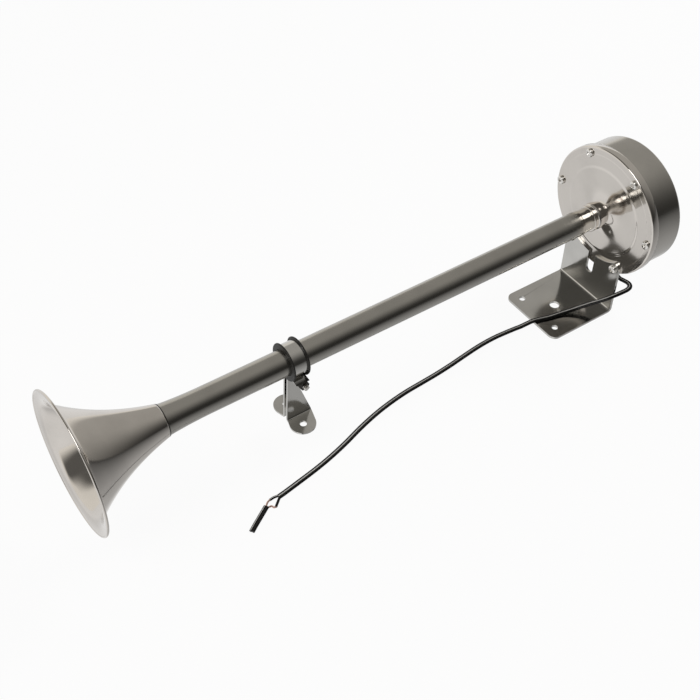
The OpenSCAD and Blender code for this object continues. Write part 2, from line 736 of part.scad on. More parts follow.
module pole_core() color([0.42, 0.42, 0.43]) {
    tail_end = recess_x - drum_wall;
    difference() {
        lathe() polygon([
            [0, pole_x], [core_d / 2 - core_chamfer, pole_x], [core_d / 2, pole_x + core_chamfer],
            [core_d / 2, bowl_floor_x], [core_tail_d / 2, bowl_floor_x],
            [core_tail_d / 2, tail_end], [0, tail_end]]);
        on_face() bar_x(screw_d + 2 * fit_gap, tail_end - core_tapped, tail_end + cut);
    }
}

module core_nut() color([0.55, 0.55, 0.53])
    on_face() difference() {
        translate([body_back_x, 0, 0]) rotate([0, 90, 0])
            cylinder(d = 2 * core_tail_d, h = recess_x - drum_wall - body_back_x - core_nut_room, $fn = 6);
        bar_x(core_tail_d + 2 * fit_gap, body_back_x - cut, drum_depth);
    }

module coil_bobbin() color([0.16, 0.15, 0.14]) {
    hub_in = core_d / 2 + fit_gap;
    hub_out = hub_in + bobbin_wall;
    lathe() polygon([
        [hub_in, bobbin_x], [bobbin_r, bobbin_x], [bobbin_r, bobbin_x + bobbin_wall],
        [hub_out, bobbin_x + bobbin_wall], [hub_out, bowl_floor_x - bobbin_wall],
        [bobbin_r, bowl_floor_x - bobbin_wall], [bobbin_r, bowl_floor_x],
        [hub_in, bowl_floor_x]]);
}

module coil_winding() color([0.7, 0.38, 0.2])
    washer_x(core_d + 2 * (bobbin_wall + 2 * fit_gap), 2 * (bobbin_r - winding_inset),
        bobbin_x + bobbin_wall, bowl_floor_x - bobbin_wall);

module armature() color([0.4, 0.4, 0.42])
    lathe() polygon([
        [stud_d / 2 + fit_gap, rear_gasket_x], [armature_r - armature_chamfer, rear_gasket_x],
        [armature_r, rear_gasket_x + armature_chamfer], [armature_r, armature_back_x],
        [stud_d / 2 + fit_gap, armature_back_x]]);

// Rivet that holds the armature to the middle of the diaphragm
module armature_stud() color([0.6, 0.6, 0.58])
    on_face() union() {
        bar_x(stud_d, diaphragm_x - lap, armature_back_x);
        bar_x(stud_head_d, diaphragm_x - stud_head_h, diaphragm_x);
    }

module striker_pin() color([0.7, 0.62, 0.45])
    on_face() bar_x(striker_d, armature_back_x, leaf_x - fit_gap, striker_y, striker_z);

// Block of the breaker's stack, in the clamp's own outline
module clamp_block(from, to) {
    difference() {
        translate([from, clamp_y - clamp_len, leaf_inner]) cube([to - from, clamp_len, leaf_w]);
        for (y = CONTACT_SCREW_Y)
            bar_x(contact_screw_d + 2 * fit_gap, from - cut, to + cut, y, leaf_mid);
    }
}

module contact_base() color([0.36, 0.2, 0.12])
    on_face() clamp_block(leaf_x + leaf_t, bowl_floor_x);

module contact_spacer() color([0.36, 0.2, 0.12])
    on_face() clamp_block(arm_x + arm_t, leaf_x);

module contact_screws() color([0.78, 0.66, 0.36])
    on_face() for (y = CONTACT_SCREW_Y)
        translate([arm_x, y, leaf_mid]) union() {
            bar_x(contact_head_d, -contact_head_h, 0);
            bar_x(contact_screw_d, -lap, bowl_floor_x - arm_x);
        }

module fixed_contact_arm() color([0.78, 0.66, 0.36])
    on_face() union() {
        clamp_block(arm_x, arm_x + arm_t);
        translate([arm_x, clamp_y - lap, arm_z - arm_w / 2])
            cube([arm_t, arm_end_y - clamp_y + lap, arm_w]);
    }

module fixed_contact_tip() color([0.8, 0.8, 0.82])
    on_face() bar_x(tip_d, arm_x + arm_t, arm_x + arm_t + tip_h, tip_y, arm_z);

module contact_leaf() color([0.72, 0.6, 0.34])
    on_face() union() {
        clamp_block(leaf_x, leaf_x + leaf_t);
        translate([leaf_x, clamp_y - lap, leaf_inner]) cube([leaf_t, leaf_free + lap, leaf_w]);
    }

module moving_contact_tip() color([0.8, 0.8, 0.82])
    on_face() bar_x(tip_d, leaf_x - tip_h, leaf_x, tip_y, arm_z);

// Screw that bends the fixed arm: it turns in the bowl's floor, with a slotted tail
module adjusting_screw() color([0.74, 0.73, 0.7])
    on_face() {
        tail = body_back_x + adjuster_tail;
        difference() {
            bar_x(adjuster_d, arm_x + arm_t + running_gap, tail, adjuster_y, arm_z);
            translate([tail - driver_slot_depth, adjuster_y - adjuster_d, arm_z - driver_slot_w / 2])
                cube([cut + driver_slot_depth, 2 * adjuster_d, driver_slot_w]);
        }
    }

module adjuster_lock_nut() color([0.74, 0.73, 0.7])
    on_face() translate([0, adjuster_y, arm_z]) difference() {
        translate([body_back_x, 0, 0]) rotate([0, 90, 0])
            cylinder(d = 2 * adjuster_d, h = lock_nut_t, $fn = 6);
        bar_x(adjuster_d + 2 * running_gap, body_back_x - cut, body_back_x + lock_nut_t + cut);
    }

module suppressor() color([0.86, 0.84, 0.78])
    on_face() translate([bowl_floor_x - suppressor_size[0], -suppressor_size[1] / 2, suppressor_z])
        cube(suppressor_size);

module terminal_strip() color([0.3, 0.18, 0.12])
    on_face() difference() {
        translate([body_back_x, -strip_size[1] / 2, strip_z]) cube(strip_size);
        for (side = [-1, 1])
            bar_x(strip_screw_d + 2 * fit_gap, body_back_x - cut, body_back_x + strip_size[0] + cut,
                side * strip_screw_y, strip_z + strip_size[2] / 2);
    }

module terminal_screws() color([0.8, 0.68, 0.38])
    on_face() for (side = [-1, 1])
        translate([body_back_x + strip_size[0], side * strip_screw_y, strip_z + strip_size[2] / 2]) union() {
            bar_x(strip_head_d, 0, strip_head_h);
            bar_x(strip_screw_d, -strip_size[0], lap);
        }

// Places children at the gland, looking out of the drum along +Z
module at_gland() {
    on_face() translate([gland_x, 0, 0]) rotate([180 - gland_angle, 0, 0]) children();
}

// Rubber gland: a flange outside the drum, a tapered nose and a lip inside
module cable_gland() color([0.06, 0.06, 0.06])
    difference() {
        union() {
            difference() {
                at_gland() translate([0, 0, drum_r - cut]) cylinder(d = gland_d, h = gland_flange_t + cut);
                lathe() square([drum_r + fit_gap, 2 * gland_x + gland_d]);
            }
            at_gland() translate([0, 0, gland_in_r + lap])
                cylinder(r = gland_neck_r, h = drum_r + gland_flange_t - gland_in_r - lap);
            at_gland() translate([0, 0, drum_r + gland_flange_t])
                cylinder(r1 = gland_neck_r, r2 = cable_w / 2 + gland_tip_wall, h = gland_nose);
            intersection() {
                at_gland() translate([0, 0, gland_in_r]) cylinder(d = gland_d, h = 2 * gland_lip_t);
                lathe() square([drum_r - drum_wall - fit_gap, 2 * gland_x + gland_d]);
            }
        }
        at_gland() translate([-cable_w / 2 - fit_gap, -cable_t / 2 - fit_gap, gland_in_r - cut])
            cube([cable_w + 2 * fit_gap, cable_t + 2 * fit_gap, gland_end_r - gland_in_r + 2 * cut]);
    }

// Rubber bush round the tube, with a flange on each side of the strap
module support_grommet() color([0.07, 0.07, 0.07]) {
    half_groove = strap_w / 2 + running_gap;
    half = half_groove + grommet_flange_t;
    round_r = rubber_edge_r;
    flange_r = grommet_d / 2;
    translate([-support_x, 0, 0]) lathe() polygon(concat(
        [[rubber_in_r, -half]],
        arc([flange_r - round_r, -half + round_r], round_r, -90, 0, 4),
        arc([flange_r - round_r, -half_groove - round_r], round_r, 0, 90, 4),
        [[rubber_out_r, -half_groove], [rubber_out_r, half_groove]],
        arc([flange_r - round_r, half_groove + round_r], round_r, -90, 0, 4),
        arc([flange_r - round_r, half - round_r], round_r, 0, 90, 4),
        [[rubber_in_r, half]]));
}

// Section of the strap in Y and Z from the axis: a ring that turns down into two legs
module strap_section() {
    corner = strap_out_r + strap_fillet_r;
    fillet_y = leg_y + strap_fillet_r;
    fillet_z = -sqrt(corner * corner - fillet_y * fillet_y);
    difference() {
        union() {
            circle(strap_out_r);
            translate([-fillet_y, fillet_z]) square([2 * fillet_y, -fillet_z]);
        }
        circle(strap_in_r);
        translate([-leg_gap / 2, -2 * strap_out_r]) square([leg_gap, 2 * strap_out_r]);
        for (side = [-1, 1])
            translate([side * fillet_y, fillet_z]) circle(strap_fillet_r);
    }
}

// Outline of one leg in X and Z: below the grommet it widens down to the foot, with a lug for the clamp screw
module leg_outline(top, bottom) {
    lug = [clamp_shift, axis_h - clamp_drop];
    lug_r = clamp_d / 2 + hole_gap + lug_rim;
    neck = axis_h - grommet_d / 2 - hole_gap;
    polygon([
        [-strap_w_half, top], [strap_w_half, top], [strap_w_half, neck], [leg_waist, lug[1]],
        [foot_shift + foot_w / 2, bottom], [foot_shift - foot_w / 2, bottom], [-strap_w_half, neck]]);
    polygon([[-strap_w_half, neck], [strap_w_half, neck], tangent([strap_w_half, neck], lug, lug_r, 1),
             lug - [0, lug_r], [-strap_w_half, lug[1] - lug_r]]);
    translate(lug) circle(lug_r);
}

// Outline of one foot in X and Y, from its fold at y to its round end
module foot_outline(y) {
    middle = [foot_end_shift, foot_end_y];
    left = [foot_shift - foot_w / 2, y];
    right = [foot_shift + foot_w / 2, y];
    difference() {
        union() {
            polygon([left, right, tangent(right, middle, foot_end_r, -1), middle,
                     tangent(left, middle, foot_end_r, 1)]);
            translate(middle) circle(foot_end_r);
        }
        translate([foot_shift - foot_w, y - 2 * foot_end_r]) square([2 * foot_w, 2 * foot_end_r]);
        translate([foot_end_shift, foot_hole_y]) circle(d = foot_hole_d);
    }
}

module support_strap() color([0.55, 0.54, 0.52]) {
    ring_bottom = -sqrt(pow(strap_out_r + strap_fillet_r, 2) - pow(leg_y + strap_fillet_r, 2));
    leg_top = axis_h + ring_bottom;
    leg_bottom = foot_h + foot_bend_r;
    bend_y = leg_y + foot_bend_r;
    translate([face_x - support_x, 0, 0]) union() {
        translate([-strap_w / 2, 0, axis_h]) rotate([90, 0, 90]) linear_extrude(strap_w) strap_section();
        for (side = [-1, 1]) mirror([0, side < 0 ? 1 : 0, 0]) {
            difference() {
                translate([0, leg_y, 0]) rotate([90, 0, 0]) linear_extrude(strap_t)
                    leg_outline(leg_top, leg_bottom);
                translate([clamp_shift, leg_gap / 2 - cut, axis_h - clamp_drop]) rotate([-90, 0, 0])
                    cylinder(d = clamp_d + hole_gap, h = strap_t + 2 * cut);
            }
            translate([foot_shift - foot_w / 2, bend_y, leg_bottom]) rotate([90, 0, 90])
                linear_extrude(foot_w) intersection() {
                    difference() {
                        circle(foot_bend_r + strap_t);
                        circle(foot_bend_r);
                    }
                    translate([-foot_bend_r - strap_t, -foot_bend_r - strap_t])
                        square(foot_bend_r + strap_t);
                }
            translate([0, 0, foot_h - strap_t]) linear_extrude(strap_t) foot_outline(bend_y);
        }
    }
}

module at_clamp() {
    translate([face_x - support_x + clamp_shift, 0, axis_h - clamp_drop]) rotate([0, 0, -90]) children();
}

// Screw through both legs: its head is on the far side, its end on the near side
module clamp_screw() color([0.6, 0.59, 0.56])
    at_clamp() translate([-leg_y, 0, 0])
        pan_screw(clamp_d, 2 * leg_y + clamp_nut_t + clamp_tail, clamp_nut_d, head_h);

module clamp_nut() color([0.2, 0.19, 0.18])
    at_clamp() difference() {
        translate([leg_y, 0, 0]) rotate([0, 90, 0]) cylinder(d = clamp_nut_d, h = clamp_nut_t, $fn = 6);
        bar_x(clamp_d + 2 * fit_gap, leg_y - cut, leg_y + clamp_nut_t + cut);
    }

// Section of the flat cable, and of a round core, as lists of side and height
function flat_section(w, t) = [
    [0.5 * w, 0.22 * t], [0.3 * w, 0.5 * t], [-0.3 * w, 0.5 * t], [-0.5 * w, 0.22 * t],
    [-0.5 * w, -0.22 * t], [-0.3 * w, -0.5 * t], [0.3 * w, -0.5 * t], [0.5 * w, -0.22 * t]];
function round_section(d) = [for (a = [22.5:45:337.5]) d / 2 * [cos(a), sin(a)]];

// Solid that carries a section along a route: the section's flat side stays level
module sweep(route, section) {
    n = len(section);
    last = len(route) - 1;
    rings = [for (i = [0:last])
        let (t = unit(route[min(i + 1, last)] - route[max(i - 1, 0)]),
             side = unit([t[1], -t[0], 0]),
             up = cross(side, t))
        for (p = section) route[i] + p[0] * side + p[1] * up];
    walls = [for (i = [0:last - 1], k = [0:n - 1])
        let (a = i * n + k, b = i * n + (k + 1) % n)
        each [[a, a + n, b + n], [a, b + n, b]]];
    ends = [for (k = [1:n - 2]) each [[0, k, k + 1], [last * n, last * n + k + 1, last * n + k]]];
    polyhedron(rings, concat(walls, ends));
}

module inner_leads() color([0.5, 0.1, 0.08])
    for (side = [-1, 1])
        sweep([for (p = LEAD_ROUTE)
            let (share = (p[0] - gland_x) / (lead_end_x - gland_x),
                 start = gland_angle + side * lead_spread,
                 turn = start + (side * lead_end_angle - start) * share)
            [face_x + p[0], -p[1] * sin(turn), axis_h - p[1] * cos(turn)]], round_section(lead_d));

module cord() color([0.05, 0.05, 0.05]) sweep(CORD_ROUTE, flat_section(cable_w, cable_t));

module split_cores() color([0.05, 0.05, 0.05]) {
    sweep(CORE_A, round_section(cable_t));
    sweep(CORE_B, round_section(cable_t));
}

module bare_wires() color([0.85, 0.6, 0.52]) {
    sweep(COPPER_A, round_section(copper_d));
    sweep(COPPER_B, round_section(copper_d));
}

module cord_tail() color([0.05, 0.05, 0.05]) sweep(TAIL, flat_section(cable_w, cable_t));

bell();
joint_seal();
trumpet_tube();
throat_nipple();
neck_ring();
neck_collar();
front_plate();
plate_screws();
bracket_screws();
mounting_bracket();
front_gasket();
diaphragm();
rear_gasket();
driver_body();
drum();
drum_seal();
drum_screw();
drum_washer();
pole_core();
core_nut();
coil_bobbin();
coil_winding();
armature();
armature_stud();
striker_pin();
contact_base();
contact_spacer();
contact_screws();
fixed_contact_arm();
fixed_contact_tip();
contact_leaf();
moving_contact_tip();
adjusting_screw();
adjuster_lock_nut();
suppressor();
terminal_strip();
terminal_screws();
inner_leads();
cable_gland();
support_grommet();
support_strap();
clamp_screw();
clamp_nut();
cord();
split_cores();
bare_wires();
cord_tail();
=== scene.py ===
"""Marine trumpet horn: its spun bell, long tube, pressed driver, bracket, support and cable."""

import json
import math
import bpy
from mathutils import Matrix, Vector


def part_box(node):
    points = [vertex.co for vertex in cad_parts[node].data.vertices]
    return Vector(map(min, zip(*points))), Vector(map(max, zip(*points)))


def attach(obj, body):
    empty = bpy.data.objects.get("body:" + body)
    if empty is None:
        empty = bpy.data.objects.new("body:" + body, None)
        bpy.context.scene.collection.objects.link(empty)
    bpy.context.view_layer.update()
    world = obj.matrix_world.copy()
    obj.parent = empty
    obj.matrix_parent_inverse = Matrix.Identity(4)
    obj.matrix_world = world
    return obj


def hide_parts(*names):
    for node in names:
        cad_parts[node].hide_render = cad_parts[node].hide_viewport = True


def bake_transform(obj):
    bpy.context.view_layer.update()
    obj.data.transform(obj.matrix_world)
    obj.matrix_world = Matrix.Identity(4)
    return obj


bl_info = {
    "name": "Marine Trumpet Horn",
    "version": (1, 0, 0),
    "blender": (4, 5, 0),
    "location": "3D View > Sidebar > Horn",
    "description": "Dresses the solids of a marine trumpet horn with steel, rubber, cable and copper",
    "category": "Add Mesh",
}

import bmesh
import bpy
from bpy.props import FloatProperty, FloatVectorProperty, PointerProperty
from mathutils import Matrix, Vector

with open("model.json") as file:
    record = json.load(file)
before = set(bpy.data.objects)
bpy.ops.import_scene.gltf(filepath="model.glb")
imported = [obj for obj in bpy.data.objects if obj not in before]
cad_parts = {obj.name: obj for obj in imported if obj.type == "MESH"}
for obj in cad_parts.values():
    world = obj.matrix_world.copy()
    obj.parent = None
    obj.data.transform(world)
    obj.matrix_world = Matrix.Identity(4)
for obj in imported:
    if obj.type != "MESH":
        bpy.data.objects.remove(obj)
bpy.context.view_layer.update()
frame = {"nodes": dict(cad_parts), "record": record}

MM = 0.001

# Places read from the solids
bell_low, bell_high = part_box("bell")
tube_low, tube_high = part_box("trumpet_tube")
ring_low, ring_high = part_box("neck_ring")
collar_low, collar_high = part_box("neck_collar")
plate_low, plate_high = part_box("front_plate")
drum_low, drum_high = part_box("drum")
washer_low, washer_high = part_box("drum_washer")
bracket_low, bracket_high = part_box("mounting_bracket")
grommet_low, grommet_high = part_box("support_grommet")
strap_low, strap_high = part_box("support_strap")
nut_low, nut_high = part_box("clamp_nut")
AXIS_Z = (bell_low.z + bell_high.z) / 2
FACE_X = bracket_high.x
SUPPORT_X = (grommet_low.x + grommet_high.x) / 2

# Values that several pieces share
AROUND = 192  # steps round a turned piece
ON_AXIS = 0.0001 * MM  # a smaller radius is a point on the axis
NEAR = 0.001 * MM  # points nearer than this are one
ROUNDING = 1e-9  # what a sum of lengths may be off by
FIT = 0.03 * MM  # gap between the tube and what is pushed over it
COLLAR_FOOT = 0.3 * MM  # thickness of the collar where it meets the plate
# the cable's pale line is a highlight painted along one core
PAINTED_HIGHLIGHT = "painted_highlight"  # attribute that is 1 on the cable's pale line

# The cable's route, from the gland over the bracket's base and along the floor, in millimetres
CABLE_ROUTE = [
    (215.5, -14.4, 30.17), (215.5, -15.5, 26.8), (215.6, -17.2, 23.8), (216.6, -20, 21.6),
    (218.2, -23.4, 20.9), (219, -26.8, 20.8), (218.2, -29.6, 20.8), (215.9, -31.5, 20.8),
    (212.6, -32.2, 20.7), (208.2, -32, 20.6), (203.6, -31.6, 20.4), (199.4, -30.4, 19.4),
    (195.6, -28.6, 17.6), (191.7, -25.8, 15), (186.7, -21.7, 11.6), (181.2, -17.8, 8.2),
    (174.1, -14.1, 5.1), (166.4, -11.3, 3.5), (157, -9.4, 3.1), (149, -7.1, 3.1),
    (142.4, -5.4, 3.06), (137, -4.3, 2), (131.5, -3.5, 1.15), (125, -2.7, 1.05),
    (108.2, -1.6, 1.05), (92.8, -2.1, 1.05), (76.8, -3.9, 1.05), (60.9, -6, 1.05),
    (45.5, -7.5, 1.05), (31, -8.4, 1.05), (16.2, -9.4, 1.05), (1, -11.5, 1.05),
    (-14.5, -14.7, 1.05), (-31, -19.4, 1.05), (-47.5, -25, 1.05), (-63.5, -29.6, 1.05),
    (-78, -32.9, 1.05), (-92.2, -35.5, 1.05), (-105.9, -37.9, 1.05), (-111.4, -38.7, 1.05),
]
CORE_A = [(-110.6, -37.6, 1.05), (-111.5, -37.7, 1.05), (-114.5, -37.3, 1.05), (-117.8, -37.6, 1.05)]
CORE_B = [(-110.6, -39.5, 1.05), (-111.3, -39.7, 1.05), (-113.2, -41.2, 1.05), (-117.4, -44.8, 1.05)]
COPPER_A = [(-117.2, -37.5, 1.05), (-117.8, -37.6, 1.05), (-120.4, -38.6, 1.05), (-122.6, -40.7, 1.05)]
COPPER_B = [
    (-117, -44.4, 1.05), (-117.6, -44.7, 1.05), (-118.9, -44.4, 1.05), (-119.4, -42.8, 1.05),
    (-121.6, -42.3, 1.05),
]
TAIL = [
    (-122.6, -41, 1.05), (-127.3, -44, 1.05), (-132, -47, 1.05), (-136.7, -50, 1.05), (-141.3, -53.1, 1.05),
]


def dimension(name, millimetres, description):
    """A length that a user may change"""
    return FloatProperty(name=name, description=description, default=millimetres * MM, unit="LENGTH")


def tone(name, colour, description):
    """A linear colour that a user may change"""
    return FloatVectorProperty(name=name, description=description, default=colour, subtype="COLOR")


class HornSizes(bpy.types.PropertyGroup):
    """Sizes of the pieces that are made here"""

    lip_diameter: dimension("Lip Diameter", 77.4, "Diameter at which the flare turns out into the lip")
    lip_depth: dimension("Lip Depth", 4.7, "Depth of the lip behind the mouth")
    bell_length: dimension(
        "Bell Length", (bell_high.x - bell_low.x) / MM, "From the mouth to the joint with the tube")
    joint_diameter: dimension("Joint Diameter", 23.2, "Outer diameter of the bell's small end")
    sheet: dimension("Bell Sheet", 0.6, "Thickness of the spun sheet")
    bead_diameter: dimension("Rim Bead", 1.8, "Diameter of the bead rolled round the mouth")
    tube_diameter: dimension("Tube Diameter", 19, "Outer diameter of the straight tube")
    tube_wall: dimension("Tube Wall", 0.7, "Thickness of the tube")
    tube_flare: dimension("Tube Flare", 36, "Length over which the tube widens to the bell")
    neck_diameter: dimension("Neck Diameter", 17.4, "Outer diameter of the tube's narrowed end")
    neck_taper: dimension("Neck Taper", 11, "Length over which the tube narrows")
    neck_length: dimension("Neck Length", 6, "Length of the narrowed end")
    plate_thickness: dimension("Plate Thickness", 1.2, "Thickness of the pressed front plate")
    plate_rise: dimension(
        "Plate Rise", (FACE_X - collar_high.x) / MM, "Height of the plate's middle above its rim")
    step_rise: dimension("Step Rise", 0.5, "Height of the pressed step")
    step_width: dimension("Step Width", 3, "Width of the pressed step")
    step_diameter: dimension("Step Diameter", 71, "Diameter of the pressed step")
    screw_circle: dimension("Screw Circle", 92.8, "Diameter of the circle of screws")
    head_diameter: dimension("Head Diameter", 6.8, "Diameter of a screw head")
    head_height: dimension("Head Height", 2.4, "Height of a screw head")
    drum_corner: dimension("Drum Corner", 3, "Radius of the drum's back corner")
    bracket_sheet: dimension("Bracket Sheet", 2, "Thickness of the bracket")
    fold_radius: dimension("Fold Radius", 1.5, "Inner radius of the bracket's fold")
    strap_sheet: dimension("Strap Sheet", 1.4, "Thickness of the support strap")
    strap_width: dimension("Strap Width", 10.2, "Width of the strap round the tube")
    leg_gap: dimension("Leg Gap", 2.4, "Gap between the strap's two legs")
    leg_waist: dimension("Leg Waist", 2.8, "Reach of the leg's edge at its clamp screw's height")
    lug_radius: dimension("Lug Radius", 4.4, "Radius of the leg's lug round the clamp screw")
    foot_width: dimension("Foot Width", 19.4, "Width of a foot at its fold")
    foot_radius: dimension("Foot Radius", 9.4, "Radius of a foot's round end")
    cable_width: dimension("Cable Width", 4, "Width of the flat twin cable")
    cable_thickness: dimension("Cable Thickness", 2, "Thickness of the flat twin cable")
    copper_diameter: dimension("Copper Diameter", 1.35, "Diameter of a bare bundle of strands")


class HornColours(bpy.types.PropertyGroup):
    """Colours of the finishes, as linear values"""

    polished: tone("Polished Steel", (0.67, 0.635, 0.595), "Bell, plate and collar")
    brushed: tone("Brushed Steel", (0.44, 0.425, 0.395), "Tube")
    drawn: tone("Drawn Steel", (0.54, 0.52, 0.485), "Drum")
    satin: tone("Satin Steel", (0.61, 0.60, 0.575), "Bracket and strap")
    screws: tone("Screw Steel", (0.72, 0.70, 0.67), "Screws and washers")
    dark: tone("Dull Steel", (0.07, 0.066, 0.062), "Clamp nut")
    rubber: tone("Rubber", (0.011, 0.010, 0.008), "Grommet, gland and seals")
    cable: tone("Cable Sheath", (0.004, 0.004, 0.004), "The twin cable")
    # a pale colour painted along one core of the cable as its highlight
    painted_highlight: tone("Cable Painted Highlight", (0.76, 0.75, 0.73), "Pale line along one core of the cable")
    copper: tone("Copper", (0.88, 0.62, 0.54), "Bare strands")
    floor: tone("Floor", (0.92, 0.92, 0.92), "Floor under the horn")


def shares(count, first=0):
    """Even shares from first / count to 1"""
    return [k / count for k in range(first, count + 1)]


def smooth(share):
    """A share that starts and ends gently"""
    return share * share * (3 - 2 * share)


class Field:
    """A socket of a node tree: sums on it add Math nodes to the tree"""

    def __init__(self, kit, socket):
        self.kit = kit
        self.socket = socket

    def __add__(self, other):
        return self.kit.maths("ADD", self, other)

    def __radd__(self, other):
        return self.kit.maths("ADD", other, self)

    def __sub__(self, other):
        return self.kit.maths("SUBTRACT", self, other)

    def __rsub__(self, other):
        return self.kit.maths("SUBTRACT", other, self)

    def __mul__(self, other):
        return self.kit.maths("MULTIPLY", self, other)

    def __rmul__(self, other):
        return self.kit.maths("MULTIPLY", other, self)

    def __truediv__(self, other):
        return self.kit.maths("DIVIDE", self, other)

    def __pow__(self, power):
        return self.kit.maths("POWER", self, power)

    def clamped(self):
        limited = self.kit.maths("MAXIMUM", self, 0.0)
        return self.kit.maths("MINIMUM", limited, 1.0)

    def above(self, limit):
        return self.kit.maths("GREATER_THAN", self, limit)

    def eased(self, low, high):
        """0 below low, 1 above high, and a smooth step between them"""
        return smooth(((self - low) / (high - low)).clamped())


class Kit:
    """Adds nodes to one tree, and takes numbers, colours or fields for their sockets"""

    def __init__(self, tree):
        self.tree = tree

    def node(self, kind, settings=None, sockets=None):
        made = self.tree.nodes.new(kind)
        for name, value in (settings or {}).items():
            setattr(made, name, value)
        for name, value in (sockets or {}).items():
            self.plug(made.inputs[name], value)
        return made

    def get(self, kind, settings=None, sockets=None, output=0):
        return Field(self, self.node(kind, settings, sockets).outputs[output])

    def plug(self, socket, value):
        if isinstance(value, Field):
            self.tree.links.new(value.socket, socket)
        else:
            socket.default_value = value

    def maths(self, operation, *values):
        return self.get("ShaderNodeMath", {"operation": operation}, dict(enumerate(values)))

    def blend(self, share, first, second):
        """A colour between two others"""
        made = self.node("ShaderNodeMix", {"data_type": "RGBA"})
        for index, value in ((0, share), (6, first), (7, second)):  # the node's sockets for colours
            self.plug(made.inputs[index], value)
        return Field(self, made.outputs[2])

    def parts(self, vector):
        made = self.node("ShaderNodeSeparateXYZ", sockets={0: vector})
        return [Field(self, output) for output in made.outputs]

    def joined(self, x, y, z):
        return self.get("ShaderNodeCombineXYZ", sockets={0: x, 1: y, 2: z})

    def noise(self, place, scale, detail):
        """Noise with its own scale along each axis, in cells a metre"""
        stretched = self.get("ShaderNodeMapping", sockets={"Vector": place, "Scale": scale})
        return self.get("ShaderNodeTexNoise", sockets={"Vector": stretched, "Scale": 1.0, "Detail": detail})


def rgba(colour, share=1.0):
    """A colour at a share of its strength, with an alpha of 1"""
    return (*(value * share for value in colour[:3]), 1.0)


def lifted(colour, share, more):
    """A dark colour made paler"""
    return (*(value * share + more for value in colour[:3]), 1.0)


def new_finish(name, metallic, roughness):
    """A material with its Principled shader, a kit for its tree and the Object coordinates"""
    material = bpy.data.materials.new(name)
    material.use_nodes = True
    shader = material.node_tree.nodes["Principled BSDF"]
    shader.inputs["Metallic"].default_value = metallic
    shader.inputs["Roughness"].default_value = roughness
    kit = Kit(material.node_tree)
    place = kit.get("ShaderNodeTexCoord", output="Object")
    return material, shader, kit, place


def raise_surface(kit, shader, height, distance):
    """Shades a surface as if it rose by a height field times a distance"""
    normal = kit.get("ShaderNodeBump", sockets={"Height": height, "Distance": distance, "Strength": 1.0})
    kit.plug(shader.inputs["Normal"], normal)


# Grains, in cells a metre along each axis
HANDLED = (38.0, 38.0, 38.0)  # clouds where steel has been handled
EVEN = (500.0, 500.0, 500.0)  # small steel pieces
CAST = (900.0, 900.0, 900.0)  # cast and turned iron
TURNED = (900.0, 30.0, 30.0)  # fine lines round the axis
BRUSHED = (2600.0, 60.0, 60.0)  # finer lines round the axis
ROLLED = (80.0, 1500.0, 1500.0)  # lines along a rolled sheet
MOULDED = (2600.0, 2600.0, 2600.0)  # matt skin of rubber
DUST = (120.0, 120.0, 120.0)  # dusty patches
DRAGGED = (90.0, 900.0, 900.0)  # marks along an extruded sheath
WOUND = (3000.0, 20.0, 20.0)  # turns of wire


def handled_clouds(kit, place):
    """Noise of the handled clouds, and how strongly they show"""
    clouds = kit.noise(place, HANDLED, 4.0)
    return clouds, clouds.eased(0.35, 0.75)


def steel(name, colour, roughness, grain, depth, spread=0.05, smudge=0.05):
    """Metal with a grain of fine lines, its depth in millimetres, and faint clouds where it was handled"""
    material, shader, kit, place = new_finish(name, 1.0, roughness)
    lines = kit.noise(place, grain, 4.0)
    clouds, cloudy = handled_clouds(kit, place)
    kit.plug(shader.inputs["Base Color"], kit.blend(cloudy, rgba(colour), rgba(colour, 0.9)))
    kit.plug(shader.inputs["Roughness"], roughness + spread * (lines - 0.5) + smudge * (clouds - 0.5))
    raise_surface(kit, shader, lines, depth * MM)
    return material


POLISHED_FROM = 174 * MM  # the tube is polished from here
POLISHED_TO = 198 * MM  # to here, and the drum lies beyond
BRUSHED_ROUGH = 0.22  # roughness of the tube
POLISH_GAIN = 0.13  # how much smoother its neck is
DRAWN_GAIN = 0.07  # how much smoother the drum is


def brushed_steel(name, tube_colour, drum_colour):
    """The tube's brushed steel, polished at its neck, and the drum's smoother drawn steel"""
    material, shader, kit, place = new_finish(name, 1.0, BRUSHED_ROUGH)
    x, _, _ = kit.parts(place)
    on_drum = x.eased(POLISHED_TO, POLISHED_TO + 4 * MM)
    polished = x.eased(POLISHED_FROM, POLISHED_FROM + 3 * MM) * (1 - on_drum)
    lines = kit.noise(place, BRUSHED, 4.0)
    clouds, cloudy = handled_clouds(kit, place)
    colour = kit.blend(on_drum, rgba(tube_colour), rgba(drum_colour))
    colour = kit.blend(polished, colour, rgba(drum_colour, 1.12))
    kit.plug(shader.inputs["Base Color"], kit.blend(0.10 * cloudy, colour, (0.0, 0.0, 0.0, 1.0)))
    rough = BRUSHED_ROUGH - POLISH_GAIN * polished - DRAWN_GAIN * on_drum
    kit.plug(shader.inputs["Roughness"], rough + 0.05 * (lines - 0.5) + 0.04 * (clouds - 0.5))
    raise_surface(kit, shader, lines * (1 - polished), 0.0006 * MM)
    return material


def rubber(name, colour, roughness):
    """Moulded rubber or plastic: a fine grain with slightly paler dusty patches"""
    material, shader, kit, place = new_finish(name, 0.0, roughness)
    grain = kit.noise(place, MOULDED, 2.0)
    dust = kit.noise(place, DUST, 4.0)
    kit.plug(shader.inputs["Base Color"],
             kit.blend(dust.eased(0.45, 0.8), rgba(colour), lifted(colour, 1.5, 0.004)))
    kit.plug(shader.inputs["Roughness"], roughness + 0.12 * (dust - 0.5))
    raise_surface(kit, shader, grain, 0.03 * MM)
    return material


